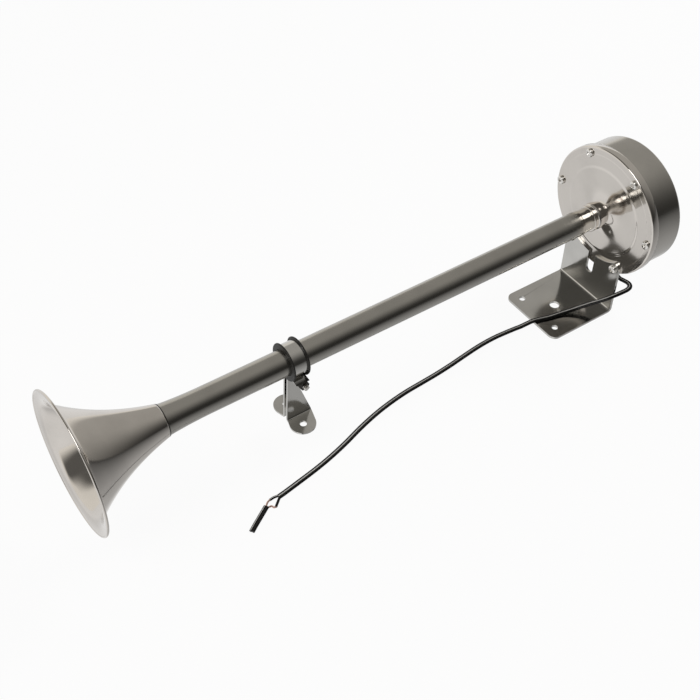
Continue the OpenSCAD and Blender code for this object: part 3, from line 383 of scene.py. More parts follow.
def cable_sheath(name, colour, painted_highlight_colour):
    """Smooth extruded sheath with faint lengthwise drag marks and a highlight painted as a pale line along
    one core
    """
    roughness = 0.1
    material, shader, kit, place = new_finish(name, 0.0, roughness)
    shader.inputs["Specular IOR Level"].default_value = 0.25
    marks = kit.noise(place, DRAGGED, 3.0)
    painted_highlight = kit.get("ShaderNodeAttribute", {"attribute_name": PAINTED_HIGHLIGHT}, output="Fac")
    sheath = kit.blend(marks.eased(0.4, 0.8), rgba(colour), lifted(colour, 1.0, 0.003))
    # paints the pale highlight line along one core over the black sheath
    kit.plug(shader.inputs["Base Color"], kit.blend(painted_highlight.eased(0.1, 0.75), sheath, rgba(painted_highlight_colour)))
    kit.plug(shader.inputs["Roughness"], roughness + 0.06 * (marks - 0.5))
    raise_surface(kit, shader, marks, 0.001 * MM)
    return material


FINISHES = {}


def finish(slot):
    """The material of one slot of the record, made once"""
    if slot in FINISHES:
        return FINISHES[slot]
    colours = bpy.context.scene.horn_colours
    screws = (colours.screws, 0.16, EVEN, 0.001)
    iron = ((0.2, 0.2, 0.2), 0.55, CAST, 0.03, 0.2, 0.1)
    metals = {
        "polished_steel": (colours.polished, 0.10, TURNED, 0.0006, 0.03, 0.05),
        "satin_steel": (colours.satin, 0.13, ROLLED, 0.0002, 0.03, 0.04),
        "screw_steel": screws,
        "diaphragm_steel": screws,
        "contact_metal": screws,
        "dark_steel": (colours.dark, 0.42, EVEN, 0.02, 0.2, 0.1),
        "cast_body": iron,
        "magnet_iron": iron,
        "copper": (colours.copper, 0.3, EVEN, 0.003),
        "coil_copper": ((0.42, 0.16, 0.06), 0.3, WOUND, 0.02),
        "contact_brass": ((0.62, 0.45, 0.18), 0.25, EVEN, 0.002),
    }
    moulded = {
        "black_rubber": (colours.rubber, 0.5),
        "gasket_fibre": ((0.02, 0.02, 0.02), 0.8),
        "bobbin_plastic": ((0.02, 0.018, 0.015), 0.5),
        "phenolic": ((0.09, 0.035, 0.014), 0.45),
        "ceramic_block": ((0.6, 0.57, 0.5), 0.6),
        "lead_red": ((0.22, 0.012, 0.008), 0.4),
    }
    if slot in metals:
        made = steel(slot, *metals[slot])
    elif slot in moulded:
        made = rubber(slot, *moulded[slot])
    elif slot == "brushed_steel":
        made = brushed_steel(slot, colours.brushed, colours.drawn)
    elif slot == "black_pvc":
        made = cable_sheath(slot, colours.cable, colours.painted_highlight)
    else:
        raise ValueError(f"no finish is written for the slot {slot}")
    FINISHES[slot] = made
    return made


def add_object(name, data):
    """A new object in the scene"""
    made = bpy.data.objects.new(name, data)
    bpy.context.scene.collection.objects.link(made)
    return made


def smoothed(piece, sharp):
    """Shades a piece smooth except over sharp edges"""
    piece.data.shade_smooth()
    piece.data.set_sharp_from_angle(angle=math.radians(sharp))
    return piece


def place_mesh(name, mesh, slot, sharp=35.0):
    """Puts a mesh in the scene as a piece of its slot's material"""
    mesh.materials.clear()
    mesh.materials.append(finish(slot))
    return smoothed(add_object(name, mesh), sharp)


def mesh_of(name, builder):
    """A mesh made of a bmesh: doubles merged and normals pointing outwards"""
    bmesh.ops.remove_doubles(builder, verts=builder.verts, dist=NEAR / 2)
    bmesh.ops.recalc_face_normals(builder, faces=builder.faces)
    mesh = bpy.data.meshes.new(name)
    builder.to_mesh(mesh)
    builder.free()
    return mesh


def built(name, builder, slot, sharp=35.0):
    """A piece made of a bmesh"""
    return place_mesh(name, mesh_of(name, builder), slot, sharp)


def settle(piece):
    """Turns a piece's modifiers into a plain mesh"""
    bpy.context.view_layer.update()
    seen = piece.evaluated_get(bpy.context.evaluated_depsgraph_get())
    made = bpy.data.meshes.new_from_object(seen)
    piece.modifiers.clear()
    old = piece.data
    piece.data = made
    bpy.data.meshes.remove(old)
    return piece


def mount(piece, body, *nodes):
    """Lets a piece ride on a body and stand for the solids that it replaces"""
    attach(piece, body)
    if nodes:
        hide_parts(*nodes)
    return piece


def rounded(corners, steps=5):
    """An outline whose corners (x, r, setback) become short curves"""
    points = []
    count = len(corners)
    for index, (x, r, setback) in enumerate(corners):
        corner = Vector((x, r))
        if setback == 0:
            points.append(corner)
            continue
        before = Vector(corners[index - 1][:2]) - corner
        after = Vector(corners[(index + 1) % count][:2]) - corner
        start = corner + before.normalized() * setback
        end = corner + after.normalized() * setback
        points += [(1 - t) ** 2 * start + 2 * t * (1 - t) * corner + t * t * end for t in shares(steps)]
    return points


def circle(x, y, radius, steps):
    """Points round a circle"""
    turns = [2 * math.pi * k / steps for k in range(steps)]
    return [(x + radius * math.cos(a), y + radius * math.sin(a)) for a in turns]


def arc_points(centre, radius, start, end, steps):
    """Points of an arc, its angles in degrees"""
    turns = [math.radians(start + (end - start) * share) for share in shares(steps)]
    return [(centre[0] + radius * math.cos(a), centre[1] + radius * math.sin(a)) for a in turns]


def bridge(builder, here, there):
    """Faces between two rings of as many corners, without corners that a ring's pole repeats"""
    count = len(here)
    for k in range(count):
        after = (k + 1) % count
        corners = list(dict.fromkeys((here[k], here[after], there[after], there[k])))
        if len(corners) > 2:
            builder.faces.new(corners)


def turned(outline, to_place, steps=AROUND):
    """A bmesh that revolves a closed outline of (along, radius), put in place by a function"""
    builder = bmesh.new()
    rings = []
    for along, radius in outline:
        if radius < ON_AXIS:
            rings.append([builder.verts.new(to_place(along, 0.0, 0.0))] * steps)
        else:
            rings.append([builder.verts.new(to_place(along, a, b)) for a, b in circle(0, 0, radius, steps)])
    for here, there in zip(rings, rings[1:] + rings[:1]):
        bridge(builder, here, there)
    return builder


def on_axis(along, side, up):
    """Places a point of a piece that is turned round the horn's axis"""
    return Vector((along, side, AXIS_Z + up))


def lathe(name, outline, slot, sharp=35.0):
    """A piece turned round the horn's axis from its outline of (x, radius)"""
    return built(name, turned(outline, on_axis), slot, sharp)


def smooth_path(points, steps):
    """A curve through all points, in metres, with steps between each two"""
    knots = [Vector(p) * MM for p in points]
    knots = [2 * knots[0] - knots[1], *knots, 2 * knots[-1] - knots[-2]]
    path = []
    for a, b, c, d in zip(knots, knots[1:], knots[2:], knots[3:]):
        for step in range(steps):
            t = step / steps
            path.append(0.5 * (2 * b + (c - a) * t + (2 * a - 5 * b + 4 * c - d) * t * t
                               + (3 * b - a - 3 * c + d) * t ** 3))
    return [*path, knots[-2]]


def path_length(path):
    return sum((b - a).length for a, b in zip(path, path[1:]))


def stations(path):
    """Each point of a path with the directions beside and above it"""
    for index, here in enumerate(path):
        way = (path[min(index + 1, len(path) - 1)] - path[max(index - 1, 0)]).normalized()
        side = Vector((way.y, -way.x, 0)).normalized()
        yield here, side, side.cross(way)


def swept(path, section, painted_corners=()):
    """A bmesh of a closed section (side, up) carried along a path, with a highlight painted on some of its
    corners
    """
    builder = bmesh.new()
    painted_highlight = builder.verts.layers.float.new(PAINTED_HIGHLIGHT)
    rings = []
    for here, side, up in stations(path):
        rings.append([builder.verts.new(here + side * a + up * b) for a, b in section])
        # the corners that carry the painted highlight
        for k in painted_corners:
            rings[-1][k][painted_highlight] = 1.0
    for here, there in zip(rings, rings[1:]):
        bridge(builder, here, there)
    builder.faces.new(rings[0])
    builder.faces.new(rings[-1][::-1])
    return builder


# Corners of each section on which the cable's highlight is painted as a pale line
CABLE_PAINTED_CORNERS = (13,)  # corner of the twin section at 130 degrees round its first core, beside the groove
TAIL_PAINTED_CORNERS = (11,)  # the cut piece is turned a little, so its line lies at 90 degrees
CORE_PAINTED_CORNERS = (4,)  # corner of a round core at 90 degrees


def twin_section(width, thickness):
    """Two round cores side by side with a web between them"""
    core = thickness / 2
    centre = width / 2 - core
    turns = [math.radians(turn) for turn in range(-130, 131, 20)]
    half = [(centre + core * math.cos(a), core * math.sin(a)) for a in turns]
    return half + [(-x, -y) for x, y in half]


def geometry_tree(name, *numbers):
    """A tree that takes numbers and a material: the tree, its kit, its inputs and its output node"""
    tree = bpy.data.node_groups.new(name, "GeometryNodeTree")
    tree.interface.new_socket(name="Geometry", in_out="OUTPUT", socket_type="NodeSocketGeometry")
    kinds = {"Geometry": "NodeSocketGeometry", **dict.fromkeys(numbers, "NodeSocketFloat"),
             "Material": "NodeSocketMaterial"}
    for socket, kind in kinds.items():
        tree.interface.new_socket(name=socket, in_out="INPUT", socket_type=kind)
    kit = Kit(tree)
    entry = tree.nodes.new("NodeGroupInput")
    given = {output.name: Field(kit, output) for output in entry.outputs if output.name}
    return tree, kit, given, tree.nodes.new("NodeGroupOutput")


def hand_out(kit, given, exit_node, geometry):
    """Gives the tree's result its material and leads it out"""
    coated = kit.get("GeometryNodeSetMaterial", sockets={
        "Geometry": geometry, "Material": given["Material"]})
    kit.plug(exit_node.inputs[0], coated)


def grow(name, host, tree, values, slot, sharp=35.0):
    """Runs a tree on a host mesh and keeps the result as a plain piece"""
    values = {**values, "Material": finish(slot)}
    piece = add_object(name, host)
    modifier = piece.modifiers.new(name, "NODES")
    modifier.node_group = tree
    for socket in tree.interface.items_tree:
        if socket.in_out == "INPUT" and socket.name in values:
            modifier[socket.identifier] = values[socket.name]
    return smoothed(settle(piece), sharp)


FLARE_SHARE = 0.72  # share of the bell's rings that lie on the exponential flare
BELL_RINGS = 120
# The lip's curve: how far its handles reach, as shares of the way from the flare to the bead
LIP_START = 0.36  # on along the flare
LIP_END = 0.45  # inwards from the bead
LIP_DROP = 0.04  # and back from the mouth there


def bell_tree():
    """A spun bell: an exponential flare that turns out into a curved lip"""
    tree, kit, given, exit_node = geometry_tree(
        "Spun bell", "Mouth Radius", "Lip Radius", "Lip Depth", "Joint Radius", "Length", "Bead Radius",
        "Mouth X", "Axis Height")
    grid = kit.get("GeometryNodeMeshGrid", sockets={
        "Size X": 1.0, "Size Y": 1.0, "Vertices X": AROUND + 1, "Vertices Y": BELL_RINGS})
    across, along, _ = kit.parts(kit.get("GeometryNodeInputPosition"))
    turn = (across + 0.5) * (2 * math.pi)
    share = along + 0.5
    lip_r, joint_r = given["Lip Radius"], given["Joint Radius"]
    run = given["Length"] - given["Lip Depth"]
    growth = run / kit.maths("LOGARITHM", lip_r / joint_r, math.e)
    flare_share = (share / FLARE_SHARE).clamped()
    flare_depth = given["Length"] - run * flare_share
    flare_r = joint_r * kit.maths("EXPONENT", (given["Length"] - flare_depth) / growth)
    rim_r = given["Mouth Radius"] - given["Bead Radius"]
    rim_depth = given["Bead Radius"]
    slope = lip_r / growth
    slope_size = (slope * slope + 1) ** 0.5
    reach = ((rim_r - lip_r) * (rim_r - lip_r)
             + (given["Lip Depth"] - rim_depth) * (given["Lip Depth"] - rim_depth)) ** 0.5
    t = ((share - FLARE_SHARE) / (1 - FLARE_SHARE)).clamped()

    def bezier(a, b, c, d):
        back = 1 - t
        return back * back * back * a + 3 * back * back * t * b + 3 * back * t * t * c + t * t * t * d

    lip_curve_r = bezier(lip_r, lip_r + LIP_START * reach * slope / slope_size,
                         rim_r - LIP_END * reach, rim_r)
    lip_curve_depth = bezier(given["Lip Depth"], given["Lip Depth"] - LIP_START * reach / slope_size,
                             rim_depth + LIP_DROP * reach, rim_depth)
    on_lip = share.above(FLARE_SHARE)
    radius = flare_r + on_lip * (lip_curve_r - flare_r)
    depth = flare_depth + on_lip * (lip_curve_depth - flare_depth)
    place = kit.joined(given["Mouth X"] + depth, radius * kit.maths("COSINE", turn),
                       given["Axis Height"] + radius * kit.maths("SINE", turn))
    shaped = kit.get("GeometryNodeSetPosition", sockets={"Geometry": grid, "Position": place})
    merged = kit.get("GeometryNodeMergeByDistance", sockets={"Geometry": shaped, "Distance": NEAR})
    hand_out(kit, given, exit_node, merged)
    return tree


SCREWS = 6  # on the plate's circle
ON_PLATE = 4  # of them hold the plate alone, and the others stand off by the bracket's sheet
SCREW_SEED = 7  # decides how far each screw is turned


def screw_tree():
    """Screws on a circle: the host's one screw at each place, turned by chance about its own axis"""
    tree, kit, given, exit_node = geometry_tree(
        "Screw circle", "Radius", "Face X", "Axis Height", "Stand-off")
    ring = kit.get("GeometryNodeMeshCircle", sockets={"Vertices": SCREWS, "Radius": given["Radius"]})
    on_bracket = kit.get("GeometryNodeInputIndex").above(ON_PLATE - 0.5)
    x, y, _ = kit.parts(kit.get("GeometryNodeInputPosition"))
    place = kit.joined(given["Face X"] - on_bracket * given["Stand-off"], x, given["Axis Height"] + y)
    placed = kit.get("GeometryNodeSetPosition", sockets={"Geometry": ring, "Position": place})
    chance = kit.node("FunctionNodeRandomValue", {"data_type": "FLOAT"})
    kit.plug(chance.inputs["Seed"], SCREW_SEED)
    turn = kit.joined(Field(kit, chance.outputs[1]) * (math.pi / 2), 0.0, 0.0)
    spread = kit.get("GeometryNodeInstanceOnPoints", sockets={
        "Points": placed, "Instance": given["Geometry"], "Rotation": turn})
    hand_out(kit, given, exit_node, kit.get("GeometryNodeRealizeInstances", sockets={"Geometry": spread}))
    return tree


def thread_tree():
    """A screw thread: a spiral ridge, joined to the host's own core"""
    tree, kit, given, exit_node = geometry_tree("Thread", "Radius", "Pitch", "Turns", "Ridge")
    spiral = kit.get("GeometryNodeCurveSpiral", sockets={
        "Resolution": 24, "Rotations": given["Turns"], "Start Radius": given["Radius"],
        "End Radius": given["Radius"], "Height": given["Turns"] * given["Pitch"]})
    profile = kit.get("GeometryNodeCurvePrimitiveCircle", sockets={
        "Resolution": 4, "Radius": given["Ridge"]})
    ridge = kit.get("GeometryNodeCurveToMesh", sockets={
        "Curve": spiral, "Profile Curve": profile, "Fill Caps": True})
    both = kit.node("GeometryNodeJoinGeometry")
    for part in (given["Geometry"], ridge):
        tree.links.new(part.socket, both.inputs[0])
    hand_out(kit, given, exit_node, Field(kit, both.outputs[0]))
    return tree


def soften(piece, width, segments=3, angle=30.0):
    """Rounds the edges at which a piece turns by more than an angle in degrees"""
    edge = piece.modifiers.new("Edge", "BEVEL")
    edge.width = width
    edge.segments = segments
    edge.angle_limit = math.radians(angle)
    return edge


def add_cross_bar(cutter, diameter, height, upright):
    """One bar of a screw's cross recess, wide at the head's face and narrow at its bottom"""
    wide, deep, thick = 0.33 * diameter, 0.62 * height, 0.075 * diameter
    clear = 1.2 * height  # the cutter starts before the head's face
    narrowing, thinning = 0.45, 0.8  # at the recess's bottom
    for vert in bmesh.ops.create_cube(cutter, size=1.0)["verts"]:
        outer = vert.co.x < 0
        x = -clear if outer else deep - height
        y = vert.co.y * 2 * wide * (1.0 if outer else narrowing)
        z = vert.co.z * 2 * thick * (1.0 if outer else thinning)
        vert.co = (x, -z, y) if upright else (x, y, z)


def screw_head(diameter, height):
    """One pan head on x = 0 that looks towards -X, with a tapered cross recess"""
    radius = diameter / 2
    foot = 0.6 * MM  # reaches into the sheet below
    dome = 0.62  # share of the height that is domed
    fullness = 0.85  # the lower, the squarer the dome's shoulder
    outline = [(foot, 0.0), (foot, radius * 0.8), (0.0, radius * 0.97), (-0.12 * height, radius)]
    for turn in range(0, 90, 9):
        a = math.radians(turn)
        outline.append((-height * (1 - dome + dome * math.sin(a)), radius * math.cos(a) ** fullness))
    outline.append((-height, 0.0))
    blank = turned(outline, lambda along, side, up: Vector((along, side, up)), 64)
    cutter = bmesh.new()
    for upright in (False, True):
        add_cross_bar(cutter, diameter, height, upright)
    body = add_object("head_blank", mesh_of("head_blank", blank))
    tool = add_object("cross_cutter", mesh_of("cross_cutter", cutter))
    cut = body.modifiers.new("Recess", "BOOLEAN")
    cut.object = tool
    cut.use_self = True
    soften(body, 0.07 * MM, 2, 38)
    mesh = settle(body).data
    bpy.data.objects.remove(body)
    bpy.data.objects.remove(tool)
    return mesh


def flat_pattern(outline, holes):
    """A bmesh of a flat sheet in (along, across), with holes"""
    builder = bmesh.new()
    edges = []
    for loop in [outline, *holes]:
        verts = [builder.verts.new((along, across, 0.0)) for along, across in loop]
        edges += [builder.edges.new((a, b)) for a, b in zip(verts, verts[1:] + verts[:1])]
    bmesh.ops.triangle_fill(builder, use_beauty=True, use_dissolve=False, edges=edges)
    return builder


def cut_across(builder, place, way, near=0.0):
    """Adds edges where a plane passes through"""
    geometry = builder.verts[:] + builder.edges[:] + builder.faces[:]
    bmesh.ops.bisect_plane(builder, geom=geometry, dist=near, plane_co=place, plane_no=way)


def line_stops(line):
    """How far along a bent line each of its points lies"""
    return [path_length(line[:k + 1]) for k in range(len(line))]


def bent_sheet(name, outline, holes, bend_line, to_place, thickness, slot, edge=0.22 * MM):
    """A sheet cut flat, bent along a line of (a, b) points and thickened to both sides"""
    builder = flat_pattern(outline, holes)
    stops = line_stops(bend_line)
    for stop in stops[1:-1]:
        cut_across(builder, (stop, 0, 0), (1, 0, 0), NEAR)
    for vert in builder.verts:
        along = min(max(vert.co.x, 0.0), stops[-1])
        index = next(k for k in range(1, len(stops)) if along <= stops[k] + ROUNDING)
        share = (along - stops[index - 1]) / (stops[index] - stops[index - 1])
        a, b = bend_line[index - 1].lerp(bend_line[index], share)
        vert.co = to_place(a, b, vert.co.y)
    piece = built(name, builder, slot)
    wall = piece.modifiers.new("Wall", "SOLIDIFY")
    wall.thickness = thickness
    wall.offset = 0.0
    wall.use_even_offset = True
    soften(piece, edge, 3, 50).harden_normals = True
    return settle(piece)


def tangent_point(start, centre, radius, side):
    """Where a line from start touches a circle, on its side towards larger (1) or smaller (-1) across"""
    way = Vector(start) - Vector(centre)
    turn = math.atan2(way.y, way.x)
    lean = math.acos(radius / way.length)
    spots = [Vector(centre) + radius * Vector((math.cos(turn + k * lean), math.sin(turn + k * lean)))
             for k in (-1, 1)]
    return max(spots, key=lambda spot: side * spot.y)


def foot_edge(centre, radius, fold, side):
    """Edge of a foot from its tip to its fold: a round end and the line that touches it"""
    touch = tangent_point(fold, centre, radius, side)
    stop = math.atan2((touch.y - centre[1]) * side, centre[0] - touch.x)
    turns = [stop * share for share in shares(30)]
    arc = [(centre[0] - radius * math.cos(a), centre[1] + side * radius * math.sin(a)) for a in turns]
    return arc + [fold]


def edge_at(stop, start, end):
    """Reach at a stop of a straight edge between two places (stop, reach)"""
    return start[1] + (end[1] - start[1]) * (stop - start[0]) / (end[0] - start[0])


CAMERA_PLACE = (-0.3602, -0.4701, 0.6579)
CAMERA_TURNS = (-35.302, 45.925, 1.225)  # azimuth, elevation and roll, in degrees
CAMERA_LENS = 61.87
SENSOR_WIDTH = 36.0
FLOOR_REACH = 9.0


def add_camera():
    """The photograph's own view"""
    a, e, r = (math.radians(turn) for turn in CAMERA_TURNS)
    back = Vector((math.sin(a) * math.cos(e), -math.cos(a) * math.cos(e), math.sin(e)))
    level = Vector((math.cos(a), math.sin(a), 0))
    upright = back.cross(level)
    right = math.cos(r) * level + math.sin(r) * upright
    up = -math.sin(r) * level + math.cos(r) * upright
    data = bpy.data.cameras.new("camera")
    data.lens = CAMERA_LENS
    data.sensor_width = SENSOR_WIDTH
    camera = add_object("camera", data)
    turn = Matrix((right, up, back)).transposed().to_4x4()
    camera.matrix_world = Matrix.Translation(Vector(CAMERA_PLACE)) @ turn
    bpy.context.scene.camera = camera


FLOOR_PALE = 0.93  # what steel sees of the floor on the left and behind
FLOOR_SHADE = 0.14  # how much less that is in a band behind
FLOOR_KEPT = 0.94  # share of plain white that the eye sees, the rest takes the shadow
FLOOR_SEEN = 0.9  # the same for what steel sees


def floor_finish(colour):
    """A white floor to the eye, paler to metal on the left and behind, which keeps a share of the shadow"""
    material = bpy.data.materials.new("floor_finish")
    material.use_nodes = True
    tree = material.node_tree
    tree.nodes.clear()
    kit = Kit(tree)
    path = kit.node("ShaderNodeLightPath")
    camera = Field(kit, path.outputs["Is Camera Ray"])
    mirror = kit.maths("MAXIMUM", Field(kit, path.outputs["Is Glossy Ray"]),
                       Field(kit, path.outputs["Is Transmission Ray"]))
    x, y, z = kit.parts(kit.get("ShaderNodeNewGeometry", output="Incoming"))
    before = 0.02 + 0.75 * z - 0.2 * z * z  # dark where it is seen at a low angle
    behind = (0.0 - y).eased(0.05, 0.5)
    beside = x.eased(0.15, 0.5)
    shaded = (0.0 - y).eased(0.1, 0.45) * z.eased(0.3, 0.55) * (1 - z.eased(0.7, 0.85))
    pale = FLOOR_PALE - FLOOR_SHADE * shaded
    mirrored = before + kit.maths("MAXIMUM", behind, beside) * (pale - before)
    matt = kit.get("ShaderNodeBsdfDiffuse", sockets={"Color": rgba(colour)})
    white = kit.get("ShaderNodeEmission", sockets={
        "Color": (1, 1, 1, 1), "Strength": camera + (1 - camera) * mirrored})
    share = kit.maths("MAXIMUM", FLOOR_KEPT * camera, FLOOR_SEEN * mirror)
    both = kit.get("ShaderNodeMixShader", sockets={0: share, 1: matt, 2: white})
    kit.node("ShaderNodeOutputMaterial", sockets={"Surface": both})
    return material


def lay_floor(colour):
    """A square floor on z = 0, wide enough to fill the view"""
    mesh = bpy.data.meshes.new("floor")
    ends = (-FLOOR_REACH, FLOOR_REACH)
    mesh.from_pydata([(x, y, 0) for y in ends for x in ends], [], [(0, 1, 3, 2)])
    mesh.materials.append(floor_finish(colour))
    add_object("floor", mesh)


ABOVE_DARK = 0.04  # how light the studio is overhead, before the horn
ABOVE_GAIN = 0.40  # and how much lighter behind it
SIDE_LIGHT = 0.12  # on the left
HORIZON_LIGHT = 0.92  # along the horizon behind and low on the left
STUDIO_WARMTH = (1.0, 0.97, 0.91, 1.0)  # tint of what steel sees


def studio_world():
    """A studio: grey above, bright along the horizon behind and low on the left, dark before the object"""
    world = bpy.data.worlds.new("studio")
    bpy.context.scene.world = world
    world.use_nodes = True
    tree = world.node_tree
    tree.nodes.clear()
    kit = Kit(tree)
    x, y, z = kit.parts(kit.get("ShaderNodeTexCoord", output="Generated"))
    above = ABOVE_DARK + ABOVE_GAIN * (y + 0.6 * z).eased(-0.8, 0.5)
    sides = SIDE_LIGHT + x.eased(-0.35, 0.25) * (above - SIDE_LIGHT)
    horizon = (1 - (z + 0.42 * x.eased(0.3, 0.55)).eased(0.42, 0.58)) * y.eased(-0.05, 0.3)
    low_left = (1 - z.eased(0.0, 0.3)) * (0.0 - x).eased(0.5, 0.8)
    level = sides + kit.maths("MAXIMUM", horizon, low_left) * (HORIZON_LIGHT - sides)
    camera = Field(kit, kit.node("ShaderNodeLightPath").outputs["Is Camera Ray"])
    glow = kit.node("ShaderNodeBackground", sockets={
        "Color": kit.blend(camera, STUDIO_WARMTH, (1.0, 1.0, 1.0, 1.0)),
        "Strength": camera + (1 - camera) * level})
    kit.node("ShaderNodeOutputWorld", sockets={"Surface": Field(kit, glow.outputs[0])})


# Each lamp's name, place, target, diameter, watts and whether steel mirrors it
LAMPS = (
    ("soft_key", (1.15, 0.1, 1.25), (0.1, 0.0, 0.05), 0.5, 7.0, False),
    ("soft_fill", (-0.92, -0.20, 1.22), (0.2, 0.0, 0.08), 0.8, 5.4, True),
)


def add_lamp(name, place, target, diameter, watts, mirrored):
    """A round soft lamp that looks at its target"""
    data = bpy.data.lights.new(name, "AREA")
    data.shape = "DISK"
    data.size = diameter
    data.energy = watts
    lamp = add_object(name, data)
    lamp.location = place
    lamp.rotation_mode = "QUATERNION"
    lamp.rotation_quaternion = (Vector(target) - Vector(place)).to_track_quat("-Z", "Y")
    lamp.visible_glossy = mirrored


class HORN_OT_stage(bpy.types.Operator):
    """Adds the camera, the floor, the world and the lamps"""

    bl_idname = "horn.stage"
    bl_label = "Stage"
    bl_options = {"REGISTER", "UNDO"}

    def execute(self, context):
        add_camera()
        lay_floor(context.scene.horn_colours.floor)
        studio_world()
        for lamp in LAMPS:
            add_lamp(*lamp)
        context.scene.view_settings.view_transform = "Standard"
        return {"FINISHED"}


CORD_SHARP = 60.0  # degrees over which the cord's edges look sharp
CORE_SHARE = 0.96  # a split core beside the cable's half thickness
OUTER_STRANDS = 6
STRAND_TWIST = 90.0  # turns a metre


def add_mesh(target, part):
    """Adds one bmesh to another and frees it"""
    mesh = bpy.data.meshes.new("part")
    part.to_mesh(mesh)
    part.free()
    target.from_mesh(mesh)
    bpy.data.meshes.remove(mesh)


def joined_parts(parts):
    """One bmesh of several"""
    whole = bmesh.new()
    for part in parts:
        add_mesh(whole, part)
    return whole


def strand_bundle(path, diameter):
    """Six thin strands twisted round a seventh"""
    strand_r = diameter / 6
    section = circle(0, 0, strand_r, 8)
    stops = line_stops(path)
    windings = [path]
    for strand in range(OUTER_STRANDS):
        winding = []
        for gone, (here, side, up) in zip(stops, stations(path)):
            turn = 2 * math.pi * (strand / OUTER_STRANDS + STRAND_TWIST * gone)
            winding.append(here + 2 * strand_r * (side * math.cos(turn) + up * math.sin(turn)))
        windings.append(winding)
    return joined_parts(swept(winding, section) for winding in windings)


class HORN_OT_cable(bpy.types.Operator):
    """Adds the twin cable, its split cores, the bare strands and the cut piece beyond them"""

    bl_idname = "horn.cable"
    bl_label = "Cable"
    bl_options = {"REGISTER", "UNDO"}

    def execute(self, context):
        sizes = context.scene.horn_sizes
        section = twin_section(sizes.cable_width, sizes.cable_thickness)
        path = smooth_path(CABLE_ROUTE, 5)
        # the cable, one split core and the cut piece carry a highlight painted along one core
        cable = built("twin_cable", swept(path, section, CABLE_PAINTED_CORNERS), "black_pvc", CORD_SHARP)
        mount(cable, "horn", "cord")
        round_core = circle(0, 0, sizes.cable_thickness / 2 * CORE_SHARE, 16)
        cores = joined_parts(swept(smooth_path(route, 6), round_core, painted_corners)
                             for route, painted_corners in ((CORE_A, CORE_PAINTED_CORNERS), (CORE_B, ())))
        split = mount(built("cable_cores", cores, "black_pvc", CORD_SHARP), "horn", "split_cores")
        strands = joined_parts(strand_bundle(smooth_path(route, 8), sizes.copper_diameter)
                               for route in (COPPER_A, COPPER_B))
        copper = mount(built("copper_strands", strands, "copper", CORD_SHARP), "horn", "bare_wires")
        cut_piece = swept(smooth_path(TAIL, 5), section, TAIL_PAINTED_CORNERS)
        tail = built("cable_tail", cut_piece, "black_pvc", CORD_SHARP)
        mount(tail, "horn", "cord_tail")
        path_length(path)
        return {"FINISHED"}


def face_outwards(piece):
    """Turns an open shell's faces away from the horn's axis"""
    builder = bmesh.new()
    builder.from_mesh(piece.data)
    for face in builder.faces:
        middle = face.calc_center_median()
        if face.normal.dot(Vector((0, middle.y, middle.z - AXIS_Z))) < 0:
            face.normal_flip()
    builder.to_mesh(piece.data)
    builder.free()


class HORN_OT_bell(bpy.types.Operator):
    """Spins the flared bell from its rule, with a rolled bead round its mouth"""

    bl_idname = "horn.bell"
    bl_label = "Bell"
    bl_options = {"REGISTER", "UNDO"}

    def execute(self, context):
        sizes = context.scene.horn_sizes
        mouth_r = (bell_high.z - bell_low.z) / 2
        bead_r = sizes.bead_diameter / 2
        bell = grow("spun_bell", bpy.data.meshes.new("bell_host"), bell_tree(), {
            "Mouth Radius": mouth_r, "Lip Radius": sizes.lip_diameter / 2, "Lip Depth": sizes.lip_depth,
            "Joint Radius": sizes.joint_diameter / 2, "Length": sizes.bell_length, "Bead Radius": bead_r,
            "Mouth X": bell_low.x, "Axis Height": AXIS_Z}, "polished_steel")
        face_outwards(bell)
        wall = bell.modifiers.new("Wall", "SOLIDIFY")
        wall.thickness = sizes.sheet
        wall.offset = -1.0
        mount(settle(bell), "horn", "bell")
        bead = circle(bell_low.x + bead_r, mouth_r - bead_r, bead_r, 20)
        mount(lathe("bell_rim", bead, "polished_steel"), "horn")
        return {"FINISHED"}


def seam_bore(sizes):
    """Radius of the tube where it meets the bell's end from inside"""
    return sizes.joint_diameter / 2 - sizes.sheet - FIT


def long_tube(sizes):
    """The tube, which lies in the bell's end, narrows to its straight run and again at the driver"""
    seam_x = bell_high.x
    tube_r = sizes.tube_diameter / 2
    neck_r = sizes.neck_diameter / 2
    growth = (sizes.bell_length - sizes.lip_depth) / math.log(sizes.lip_diameter / sizes.joint_diameter)
    widening = seam_bore(sizes) - tube_r
    quickness = 2.4  # how fast the tube narrows from the bell at first
    slack = 0.05 * MM  # between the tube's end and the bell
    outer = []
    for share in shares(3):
        x = tube_low.x + (seam_x - tube_low.x) * share
        bell_r = sizes.joint_diameter / 2 * math.exp((seam_x - x) / growth)
        outer.append((x, bell_r - sizes.sheet - FIT - slack))
    outer += [(seam_x + sizes.tube_flare * share, tube_r + widening * (1 - share) ** quickness)
              for share in shares(24, 1)]
    neck_x = tube_high.x - sizes.neck_length - sizes.neck_taper
    outer += [(neck_x + sizes.neck_taper * share, tube_r + (neck_r - tube_r) * smooth(share))
              for share in shares(16)]
    outer.append((tube_high.x, neck_r))
    inner = [(x, r - sizes.tube_wall) for x, r in reversed(outer)]
    mount(lathe("long_tube", outer + inner, "brushed_steel"), "horn", "trumpet_tube")


def ring_outline(ends, bore_r, radii, edge):
    """A ring whose outer radius may change from its first end to its second, with rounded outer edges"""
    return rounded([(ends[0], bore_r, 0), (ends[0], radii[0], edge), (ends[1], radii[1], edge),
                    (ends[1], bore_r, 0)])


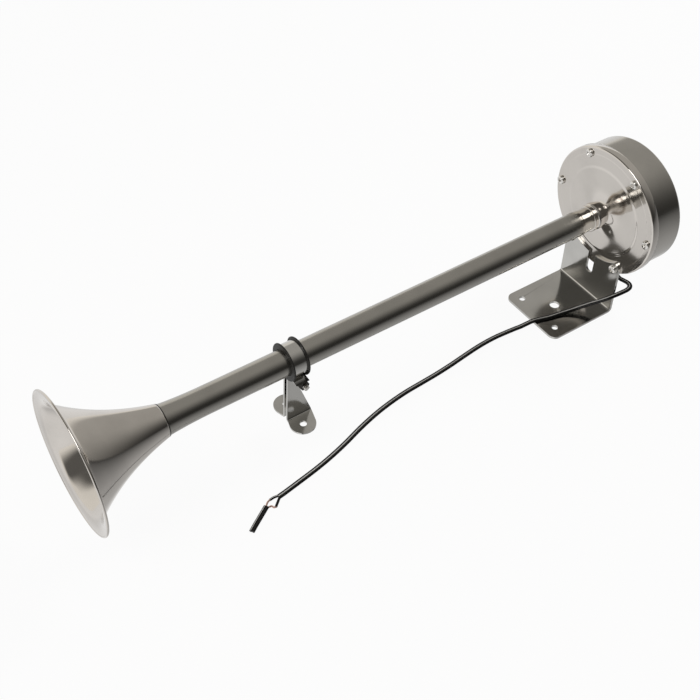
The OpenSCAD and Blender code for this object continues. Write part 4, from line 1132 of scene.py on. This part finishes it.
def tube_rings(sizes):
    """The rubber ring at the bell's joint and the thin steel ring on the neck"""
    seam_r = sizes.joint_diameter / 2
    ends = (bell_high.x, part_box("joint_seal")[1].x)
    seal = ring_outline(ends, seam_bore(sizes) + FIT, (seam_r, seam_r - 0.25 * MM), 0.12 * MM)
    mount(lathe("bell_joint_ring", seal, "black_rubber"), "horn", "joint_seal")
    ring_r = (ring_high.z - ring_low.z) / 2
    ring = ring_outline((ring_low.x, ring_high.x), sizes.neck_diameter / 2 + FIT, (ring_r, ring_r), 0.5 * MM)
    mount(lathe("thin_neck_ring", ring, "polished_steel"), "horn", "neck_ring")


def domed_collar(sizes):
    """A groove, then a dome that narrows to its foot on the plate"""
    bore_r = sizes.neck_diameter / 2 + FIT
    foot_r = sizes.neck_diameter / 2 + COLLAR_FOOT
    groove_r = 9.4 * MM
    groove_w = 2 * MM
    chamfer = 0.15 * MM
    lean = 0.75  # brings the dome's top nearer to the groove
    fullness = 0.7  # makes its shoulders fuller
    dome_h = (collar_high.z - collar_low.z) / 2 - groove_r
    dome_x = collar_low.x + groove_w
    outline = [(collar_low.x, bore_r), (collar_low.x, groove_r - chamfer),
               (collar_low.x + chamfer, groove_r), (dome_x, groove_r)]
    for share in shares(48, 1):
        bulge = dome_h * max(math.sin(math.pi * share ** lean), 0.0) ** fullness
        x = dome_x + (collar_high.x - dome_x) * share
        outline.append((x, groove_r + bulge + (foot_r - groove_r) * share))
    outline.append((collar_high.x, bore_r))
    mount(lathe("domed_collar", outline, "polished_steel"), "horn", "neck_collar")


class HORN_OT_tube(bpy.types.Operator):
    """Turns the long tube, its sealing ring, the thin neck ring and the rounded collar"""

    bl_idname = "horn.tube"
    bl_label = "Tube and Neck"
    bl_options = {"REGISTER", "UNDO"}

    def execute(self, context):
        sizes = context.scene.horn_sizes
        long_tube(sizes)
        tube_rings(sizes)
        domed_collar(sizes)
        return {"FINISHED"}


def front_plate(sizes):
    """A raised middle that falls to a pressed step, a flat that drops a little, and a rounded skirt"""
    plate_r = (plate_high.z - plate_low.z) / 2
    thick = sizes.plate_thickness
    hole_r = sizes.neck_diameter / 2 - sizes.tube_wall
    foot_r = sizes.neck_diameter / 2 + COLLAR_FOOT
    step_in = (sizes.step_diameter - sizes.step_width) / 2
    raised = sizes.plate_rise - sizes.step_rise
    steepness = 4.2  # how fast the raised middle falls beside the collar
    drop = 0.12 * MM  # of the flat's outer part
    drop_r = sizes.step_diameter / 2 + 9.9 * MM  # where it starts, just inside the screws' circle
    drop_w = 0.7 * MM
    skirt_edge = 1.6 * MM
    blunt = 0.3 * MM
    cone = [(-sizes.step_rise - raised * (1 - share) ** steepness, foot_r + (step_in - foot_r) * share)
            for share in shares(40)]
    cone += [(-sizes.step_rise * (1 - smooth(share)), step_in + sizes.step_width * share)
             for share in shares(12, 1)]
    front = [(FACE_X - sizes.plate_rise, hole_r)] + [(FACE_X + x, r) for x, r in cone]
    front += [(FACE_X + drop * smooth(share), drop_r + drop_w * share) for share in shares(6)]
    front += arc_points((FACE_X + drop + skirt_edge, plate_r - skirt_edge), skirt_edge, 180, 90, 10)
    lip = plate_high.x
    back = [(lip - blunt, plate_r), (lip, plate_r - blunt), (lip, plate_r - thick),
            (FACE_X + thick + skirt_edge, plate_r - thick), (FACE_X + thick, plate_r - thick - skirt_edge),
            *[(FACE_X + thick + x, r) for x, r in reversed(cone)],
            (FACE_X + thick - sizes.plate_rise, hole_r)]
    mount(lathe("pressed_plate", front + back, "polished_steel", 50), "horn", "front_plate")


def drum(sizes):
    """A drawn cup with a rounded back corner and a recess in its back for the screw"""
    drum_r = (drum_high.z - drum_low.z) / 2
    corner = sizes.drum_corner
    corner_at = (drum_high.x - corner, drum_r - corner)
    wall = 0.8 * MM
    recess_r = 13 * MM
    recess_x = washer_low.x
    slant = 1 * MM  # the recess is this much wider at the back
    soft = 0.8 * MM  # setback of the recess's rounded edges
    bore_r = 2 * MM
    outline = [(drum_low.x, drum_r - wall), (drum_low.x, drum_r)]
    outline += arc_points(corner_at, corner, 90, 0, 12)
    outline += rounded([
        (drum_high.x, recess_r + 2 * slant, 0), (drum_high.x, recess_r + slant, soft),
        (recess_x, recess_r, soft), (recess_x, bore_r, 0), (recess_x - wall, bore_r, 0),
        (recess_x - wall, recess_r + wall, 0)])
    outline.append((drum_high.x - wall, recess_r + slant + wall))
    outline += arc_points(corner_at, corner - wall, 0, 90, 8)
    mount(lathe("drawn_drum", outline, "brushed_steel"), "horn", "drum")


def cable_gland():
    """A rubber gland on the drum's near lower side, turned round its own axis"""
    low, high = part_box("cable_gland")
    exit_point = Vector(CABLE_ROUTE[0]) * MM
    foot = Vector((exit_point.x, 0, AXIS_Z))
    side = Vector((1, 0, 0))
    reach = (exit_point - foot).length - 0.1 * MM
    way = (exit_point - foot).normalized()
    other = way.cross(side)
    flange_r = (high.x - low.x) / 2
    boss_r = 3.3 * MM
    tip_r = 2.75 * MM
    face = (drum_high.z - drum_low.z) / 2  # where the flange sits on the drum
    sunk = 1.5 * MM
    outline = rounded([
        (face - sunk, 0, 0), (face - sunk, flange_r * 0.9, 0), (face + 0.1 * MM, flange_r, 0.3 * MM),
        (face + 1.3 * MM, flange_r * 0.94, 0.4 * MM), (face + 1.45 * MM, boss_r, 0.3 * MM),
        (reach, tip_r, 0.4 * MM), (reach, 0, 0)])
    gland = turned(outline, lambda along, a, b: foot + way * along + side * a + other * b, 64)
    mount(built("rubber_gland", gland, "black_rubber"), "horn", "cable_gland")


class HORN_OT_driver(bpy.types.Operator):
    """Presses the front plate, draws the drum and adds the cable gland"""

    bl_idname = "horn.driver"
    bl_label = "Driver"
    bl_options = {"REGISTER", "UNDO"}

    def execute(self, context):
        sizes = context.scene.horn_sizes
        front_plate(sizes)
        drum(sizes)
        cable_gland()
        return {"FINISHED"}


class HORN_OT_screws(bpy.types.Operator):
    """Sets the screws of the plate, the bracket and the drum"""

    bl_idname = "horn.screws"
    bl_label = "Screws"
    bl_options = {"REGISTER", "UNDO"}

    def execute(self, context):
        sizes = context.scene.horn_sizes
        head = screw_head(sizes.head_diameter, sizes.head_height)
        ring = grow("cross_head_screws", head.copy(), screw_tree(), {
            "Radius": sizes.screw_circle / 2, "Face X": FACE_X, "Axis Height": AXIS_Z,
            "Stand-off": sizes.bracket_sheet}, "screw_steel")
        mount(ring, "horn", "plate_screws", "bracket_screws")
        # The drum's screw is the same head, lower or higher, mirrored to look backwards
        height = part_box("drum_screw")[1].x - washer_high.x
        head.transform(Matrix.Translation((washer_high.x, 0, AXIS_Z))
                       @ Matrix.Diagonal((-height / sizes.head_height, 1, 1, 1)))
        head.flip_normals()
        mount(place_mesh("drum_back_screw", head, "screw_steel"), "horn", "drum_screw")
        return {"FINISHED"}


def bracket_line(sizes):
    """The folded bracket's middle line from its top to its base's end, in (x, z)"""
    thick = sizes.bracket_sheet
    outer = sizes.fold_radius + thick
    fold = arc_points((FACE_X - outer, outer), sizes.fold_radius + thick / 2, 0, -90, 8)
    line = [(FACE_X - thick / 2, bracket_high.z), *fold, (bracket_low.x, thick / 2)]
    return [Vector(point) for point in line]


def bracket_screw(sizes):
    """Place of a bracket screw, in (below the top, across)"""
    turn = 2 * math.pi / SCREWS
    radius = sizes.screw_circle / 2
    return bracket_high.z - AXIS_Z + radius * math.sin(turn), radius * math.cos(turn)


def bracket_edge(sizes, total):
    """Half of the bracket's flat edge, from the base's end up to the slot, in (below the top, across)"""
    corner = 6 * MM
    slot_r = 3.5 * MM
    slot_s = bracket_high.z - 25 * MM  # the middle of the slot's round end, 25 mm above the floor
    hollow_r = sizes.screw_circle / 2 - 5.1 * MM  # the hollow top edge lies round the horn's axis
    above = AXIS_Z - bracket_high.z
    half = (bracket_high.y - bracket_low.y) / 2
    screw_s, screw_y = bracket_screw(sizes)
    ear_r = half - screw_y
    start_y = math.sqrt(hollow_r ** 2 - above ** 2)
    edge = arc_points((total - corner, half - corner), corner, 0, 90, 10)
    edge += arc_points((screw_s, screw_y), ear_r, 90, 180, 14)
    for share in shares(24):
        across = start_y + (slot_r - start_y) * share
        edge.append((math.sqrt(hollow_r ** 2 - across ** 2) - above, across))
    return edge + arc_points((slot_s, 0), slot_r, 90, 0, 10)


class HORN_OT_bracket(bpy.types.Operator):
    """Cuts the bracket flat and folds it"""

    bl_idname = "horn.bracket"
    bl_label = "Bracket"
    bl_options = {"REGISTER", "UNDO"}

    def execute(self, context):
        sizes = context.scene.horn_sizes
        line = bracket_line(sizes)
        total = path_length(line)
        edge = bracket_edge(sizes, total)
        outline = edge + [(s, -y) for s, y in reversed(edge[:-1])]
        screw_s, screw_y = bracket_screw(sizes)
        end_s, end_y, end_r = total - 9.5 * MM, 19.5 * MM, 2.4 * MM  # two holes near the base's end
        middle_x, middle_r = FACE_X - 33.8 * MM, 3.8 * MM  # one between them and the fold
        holes = [circle(end_s, side * end_y, end_r, 40) for side in (1, -1)]
        holes.append(circle(total - (middle_x - bracket_low.x), 0, middle_r, 40))
        screw_r = 1.9 * MM
        holes += [circle(screw_s, side * screw_y, screw_r, 40) for side in (1, -1)]
        bracket = bent_sheet("folded_bracket", outline, holes, line,
                             lambda x, z, across: Vector((x, across, z)),
                             sizes.bracket_sheet, "satin_steel", 0.3 * MM)
        mount(bracket, "horn", "mounting_bracket")
        return {"FINISHED"}


def support_grommet(sizes):
    """A rubber bush with a groove for the strap between two flanges"""
    slack = 0.05 * MM
    bore = sizes.tube_diameter / 2 + slack
    flange_r = (grommet_high.z - grommet_low.z) / 2
    groove_r = bore + 1.0 * MM
    groove = sizes.strap_width / 2 + slack
    low_x, high_x = grommet_low.x, grommet_high.x
    blunt = 0.3 * MM
    soft = 0.5 * MM
    outline = rounded([
        (low_x, bore, blunt), (low_x, flange_r - blunt, soft), (SUPPORT_X - groove, flange_r, soft),
        (SUPPORT_X - groove, groove_r, 0), (SUPPORT_X + groove, groove_r, 0),
        (SUPPORT_X + groove, flange_r, soft), (high_x, flange_r - blunt, soft), (high_x, bore, blunt)])
    mount(lathe("rubber_grommet", outline, "black_rubber"), "support", "support_grommet")


LEG_FOOT = 7  # the point of the strap's line at which a leg starts above its foot
LEG_TOP = 8  # and the one at which it ends below the ring


def strap_line(sizes):
    """The strap's middle line from foot to foot round the grommet, in (y, above the axis)"""
    thick = sizes.strap_sheet
    ring_r = strap_high.z - AXIS_Z - thick / 2
    leg_y = sizes.leg_gap / 2 + thick / 2
    fillet = 1.5 * MM + thick / 2
    bend = 1.0 * MM + thick / 2
    foot_z = strap_low.z + thick / 2 - AXIS_Z
    fillet_y = leg_y + fillet
    fillet_z = -math.sqrt((ring_r + fillet) ** 2 - fillet_y ** 2)
    fillet_turn = math.degrees(math.atan2(-fillet_z, fillet_y))
    half = [(strap_high.y, foot_z)]
    half += arc_points((leg_y + bend, foot_z + bend), bend, 270, 180, 6)
    half += arc_points((fillet_y, fillet_z), fillet, 180, fillet_turn, 5)
    half += arc_points((0, 0), ring_r, fillet_turn - 180, 90, 46)[1:]
    other = [(-y, up) for y, up in reversed(half[:-1])]
    return [Vector(point) for point in half + other]


def support_strap(sizes, clamp):
    """The strap's flat pattern, folded at the feet and round the grommet"""
    line = strap_line(sizes)
    stops = line_stops(line)
    leg_start, leg_end, total = stops[LEG_FOOT], stops[LEG_TOP], stops[-1]
    leg_low = line[LEG_FOOT].y + AXIS_Z
    clamp_s = leg_start + clamp[1] - leg_low
    clamp_x = clamp[0] - SUPPORT_X
    right = strap_high.x - SUPPORT_X
    left = right - sizes.foot_width
    foot_at = (leg_start, right)
    waist_at = (clamp_s, sizes.leg_waist)
    neck_at = (leg_start + grommet_low.z - 0.2 * MM - leg_low, sizes.strap_width / 2)
    neck_s, neck = neck_at
    lug_at = tangent_point(neck_at, (clamp_s, clamp_x), sizes.lug_radius, 1)

    def edge_right(s):
        """Reach of a leg's right edge: in to its waist, round the lug and out to its neck"""
        if s > neck_s:
            return neck
        reach = edge_at(s, waist_at, neck_at) if s > clamp_s else edge_at(s, foot_at, waist_at)
        rise = abs(s - clamp_s)
        if rise < sizes.lug_radius:
            reach = max(reach, clamp_x + math.sqrt(sizes.lug_radius ** 2 - rise ** 2))
        if s > lug_at[0]:
            reach = max(reach, edge_at(s, lug_at, neck_at))
        return reach

    foot_r = sizes.foot_radius
    foot = (foot_r, strap_low.x - SUPPORT_X + foot_r)
    right_side = foot_edge(foot, foot_r, (stops[1], right), 1)
    leg_stops = [leg_start + (leg_end - leg_start) * share for share in shares(80)]
    right_side += [(s, edge_right(s)) for s in leg_stops]
    left_side = foot_edge(foot, foot_r, (stops[1], left), -1)
    left_side += [(leg_start, left), (neck_s, -neck), (leg_end, -neck)]
    edge = right_side + [(total - s, w) for s, w in reversed(right_side)][:-1]
    back = left_side[1:] + [(total - s, w) for s, w in reversed(left_side)]
    foot_hole_r = 2.5 * MM
    foot_hole_s = strap_high.y - 11.2 * MM  # the feet's holes lie this far to each side of the tube
    clamp_hole_r = 2.1 * MM
    holes = [circle(s, foot[1], foot_hole_r, 40) for s in (foot_hole_s, total - foot_hole_s)]
    holes += [circle(s, clamp_x, clamp_hole_r, 28) for s in (clamp_s, total - clamp_s)]
    strap = bent_sheet("bent_strap", edge + back[::-1], holes, line,
                       lambda y, up, across: Vector((SUPPORT_X + across, y, AXIS_Z + up)),
                       sizes.strap_sheet, "satin_steel")
    mount(strap, "strap", "support_strap")


def clamp_nut(centre):
    """A hexagon nut with chamfered faces"""
    corner_r = max(nut_high.x - centre[0], (nut_high.z - nut_low.z) / 2)
    thick = nut_high.y - nut_low.y
    chamfer = 0.5 * MM
    nut = bmesh.new()
    rings = [[nut.verts.new((x, nut_high.y - depth, z)) for x, z in circle(*centre, corner_r * share, 6)]
             for depth, share in ((0, 0.92), (chamfer, 1.0), (thick - chamfer, 1.0), (thick, 0.9))]
    for here, there in zip(rings, rings[1:]):
        bridge(nut, here, there)
    nut.faces.new(rings[0])
    nut.faces.new(rings[-1])
    piece = built("clamp_nut_dark", nut, "dark_steel")
    soften(piece, 0.25 * MM)
    mount(settle(piece), "strap", "clamp_nut")


def clamp_screw(sizes, centre):
    """The screw: its threaded end before the nut, its shank and its head behind the legs"""
    low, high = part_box("clamp_screw")
    radius = 2.0 * MM
    tip_r, root_r, ridge_r = (radius * share for share in (0.8, 0.84, 0.86))
    pitch = 0.7 * MM
    end = low.y
    head_face = sizes.leg_gap / 2 + sizes.strap_sheet
    shank = rounded([(0, 0, 0), (0, tip_r, 0.3 * MM), (head_face - end, root_r, 0), (head_face - end, 0, 0)])
    core = turned(shank, lambda along, a, b: Vector((a, b, along)), 40)
    thread = grow("clamp_screw_thread", mesh_of("thread_core", core), thread_tree(), {
        "Radius": ridge_r, "Pitch": pitch, "Turns": (nut_low.y - end) / pitch, "Ridge": 0.3 * MM},
        "screw_steel", 50)
    quarter = math.radians(-90)
    thread.data.transform(Matrix.Translation((centre[0], end, centre[1])) @ Matrix.Rotation(quarter, 4, "X"))
    mount(thread, "strap", "clamp_screw")
    head = screw_head(high.x - low.x, high.y - head_face)
    head.transform(Matrix.Translation((centre[0], head_face, centre[1])) @ Matrix.Rotation(quarter, 4, "Z"))
    mount(place_mesh("clamp_screw_head", head, "screw_steel"), "strap")


class HORN_OT_support(bpy.types.Operator):
    """Adds the rubber grommet, the bent strap, and the clamp screw with its nut"""

    bl_idname = "horn.support"
    bl_label = "Front Support"
    bl_options = {"REGISTER", "UNDO"}

    def execute(self, context):
        sizes = context.scene.horn_sizes
        clamp = ((nut_low.x + nut_high.x) / 2, (nut_low.z + nut_high.z) / 2)
        support_grommet(sizes)
        support_strap(sizes, clamp)
        clamp_nut(clamp)
        clamp_screw(sizes, clamp)
        return {"FINISHED"}


def contact_spring():
    """The breaker's leaf, copied from its solid with edges cut across it over the 6 mm beside its clamp"""
    leaf = bmesh.new()
    leaf.from_mesh(frame["nodes"]["contact_leaf"].data)
    bmesh.ops.remove_doubles(leaf, verts=leaf.verts, dist=NEAR)
    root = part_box("contact_spacer")[1].y
    bend = 6 * MM
    for share in shares(6):
        cut_across(leaf, (0, root + bend * share, 0), (0, 1, 0))
    spring = built("contact_spring", leaf, "contact_brass")
    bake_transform(spring)
    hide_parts("contact_leaf")


class HORN_OT_inner_parts(bpy.types.Operator):
    """Gives the solids that stay, most of them inside the driver, their finishes"""

    bl_idname = "horn.inner_parts"
    bl_label = "Inner Parts"
    bl_options = {"REGISTER", "UNDO"}

    def execute(self, context):
        contact_spring()
        slots = {row["node"]: row["material_slot"] for row in frame["record"]["subparts"]}
        for name, node in frame["nodes"].items():
            if node.hide_render:
                continue
            for place in node.material_slots:
                place.material = finish(slots[name])
        return {"FINISHED"}


class HORN_PT_panel(bpy.types.Panel):
    """Lists the horn's operators in the sidebar"""

    bl_idname = "HORN_PT_panel"
    bl_label = "Marine Trumpet Horn"
    bl_space_type = "VIEW_3D"
    bl_region_type = "UI"
    bl_category = "Horn"

    def draw(self, context):
        for operator in OPERATORS:
            self.layout.operator(operator.bl_idname)


OPERATORS = (
    HORN_OT_stage,
    HORN_OT_cable,
    HORN_OT_bell,
    HORN_OT_tube,
    HORN_OT_driver,
    HORN_OT_screws,
    HORN_OT_bracket,
    HORN_OT_support,
    HORN_OT_inner_parts,
)
CLASSES = (HornSizes, HornColours, *OPERATORS, HORN_PT_panel)


def register():
    for cls in CLASSES:
        bpy.utils.register_class(cls)
    bpy.types.Scene.horn_sizes = PointerProperty(type=HornSizes)
    bpy.types.Scene.horn_colours = PointerProperty(type=HornColours)


def unregister():
    del bpy.types.Scene.horn_colours
    del bpy.types.Scene.horn_sizes
    for cls in reversed(CLASSES):
        bpy.utils.unregister_class(cls)


def main():
    register()
    bpy.ops.horn.stage()
    bpy.ops.horn.cable()
    bpy.ops.horn.bell()
    bpy.ops.horn.tube()
    bpy.ops.horn.driver()
    bpy.ops.horn.screws()
    bpy.ops.horn.bracket()
    bpy.ops.horn.support()
    bpy.ops.horn.inner_parts()


if __name__ == "__main__":
    main()
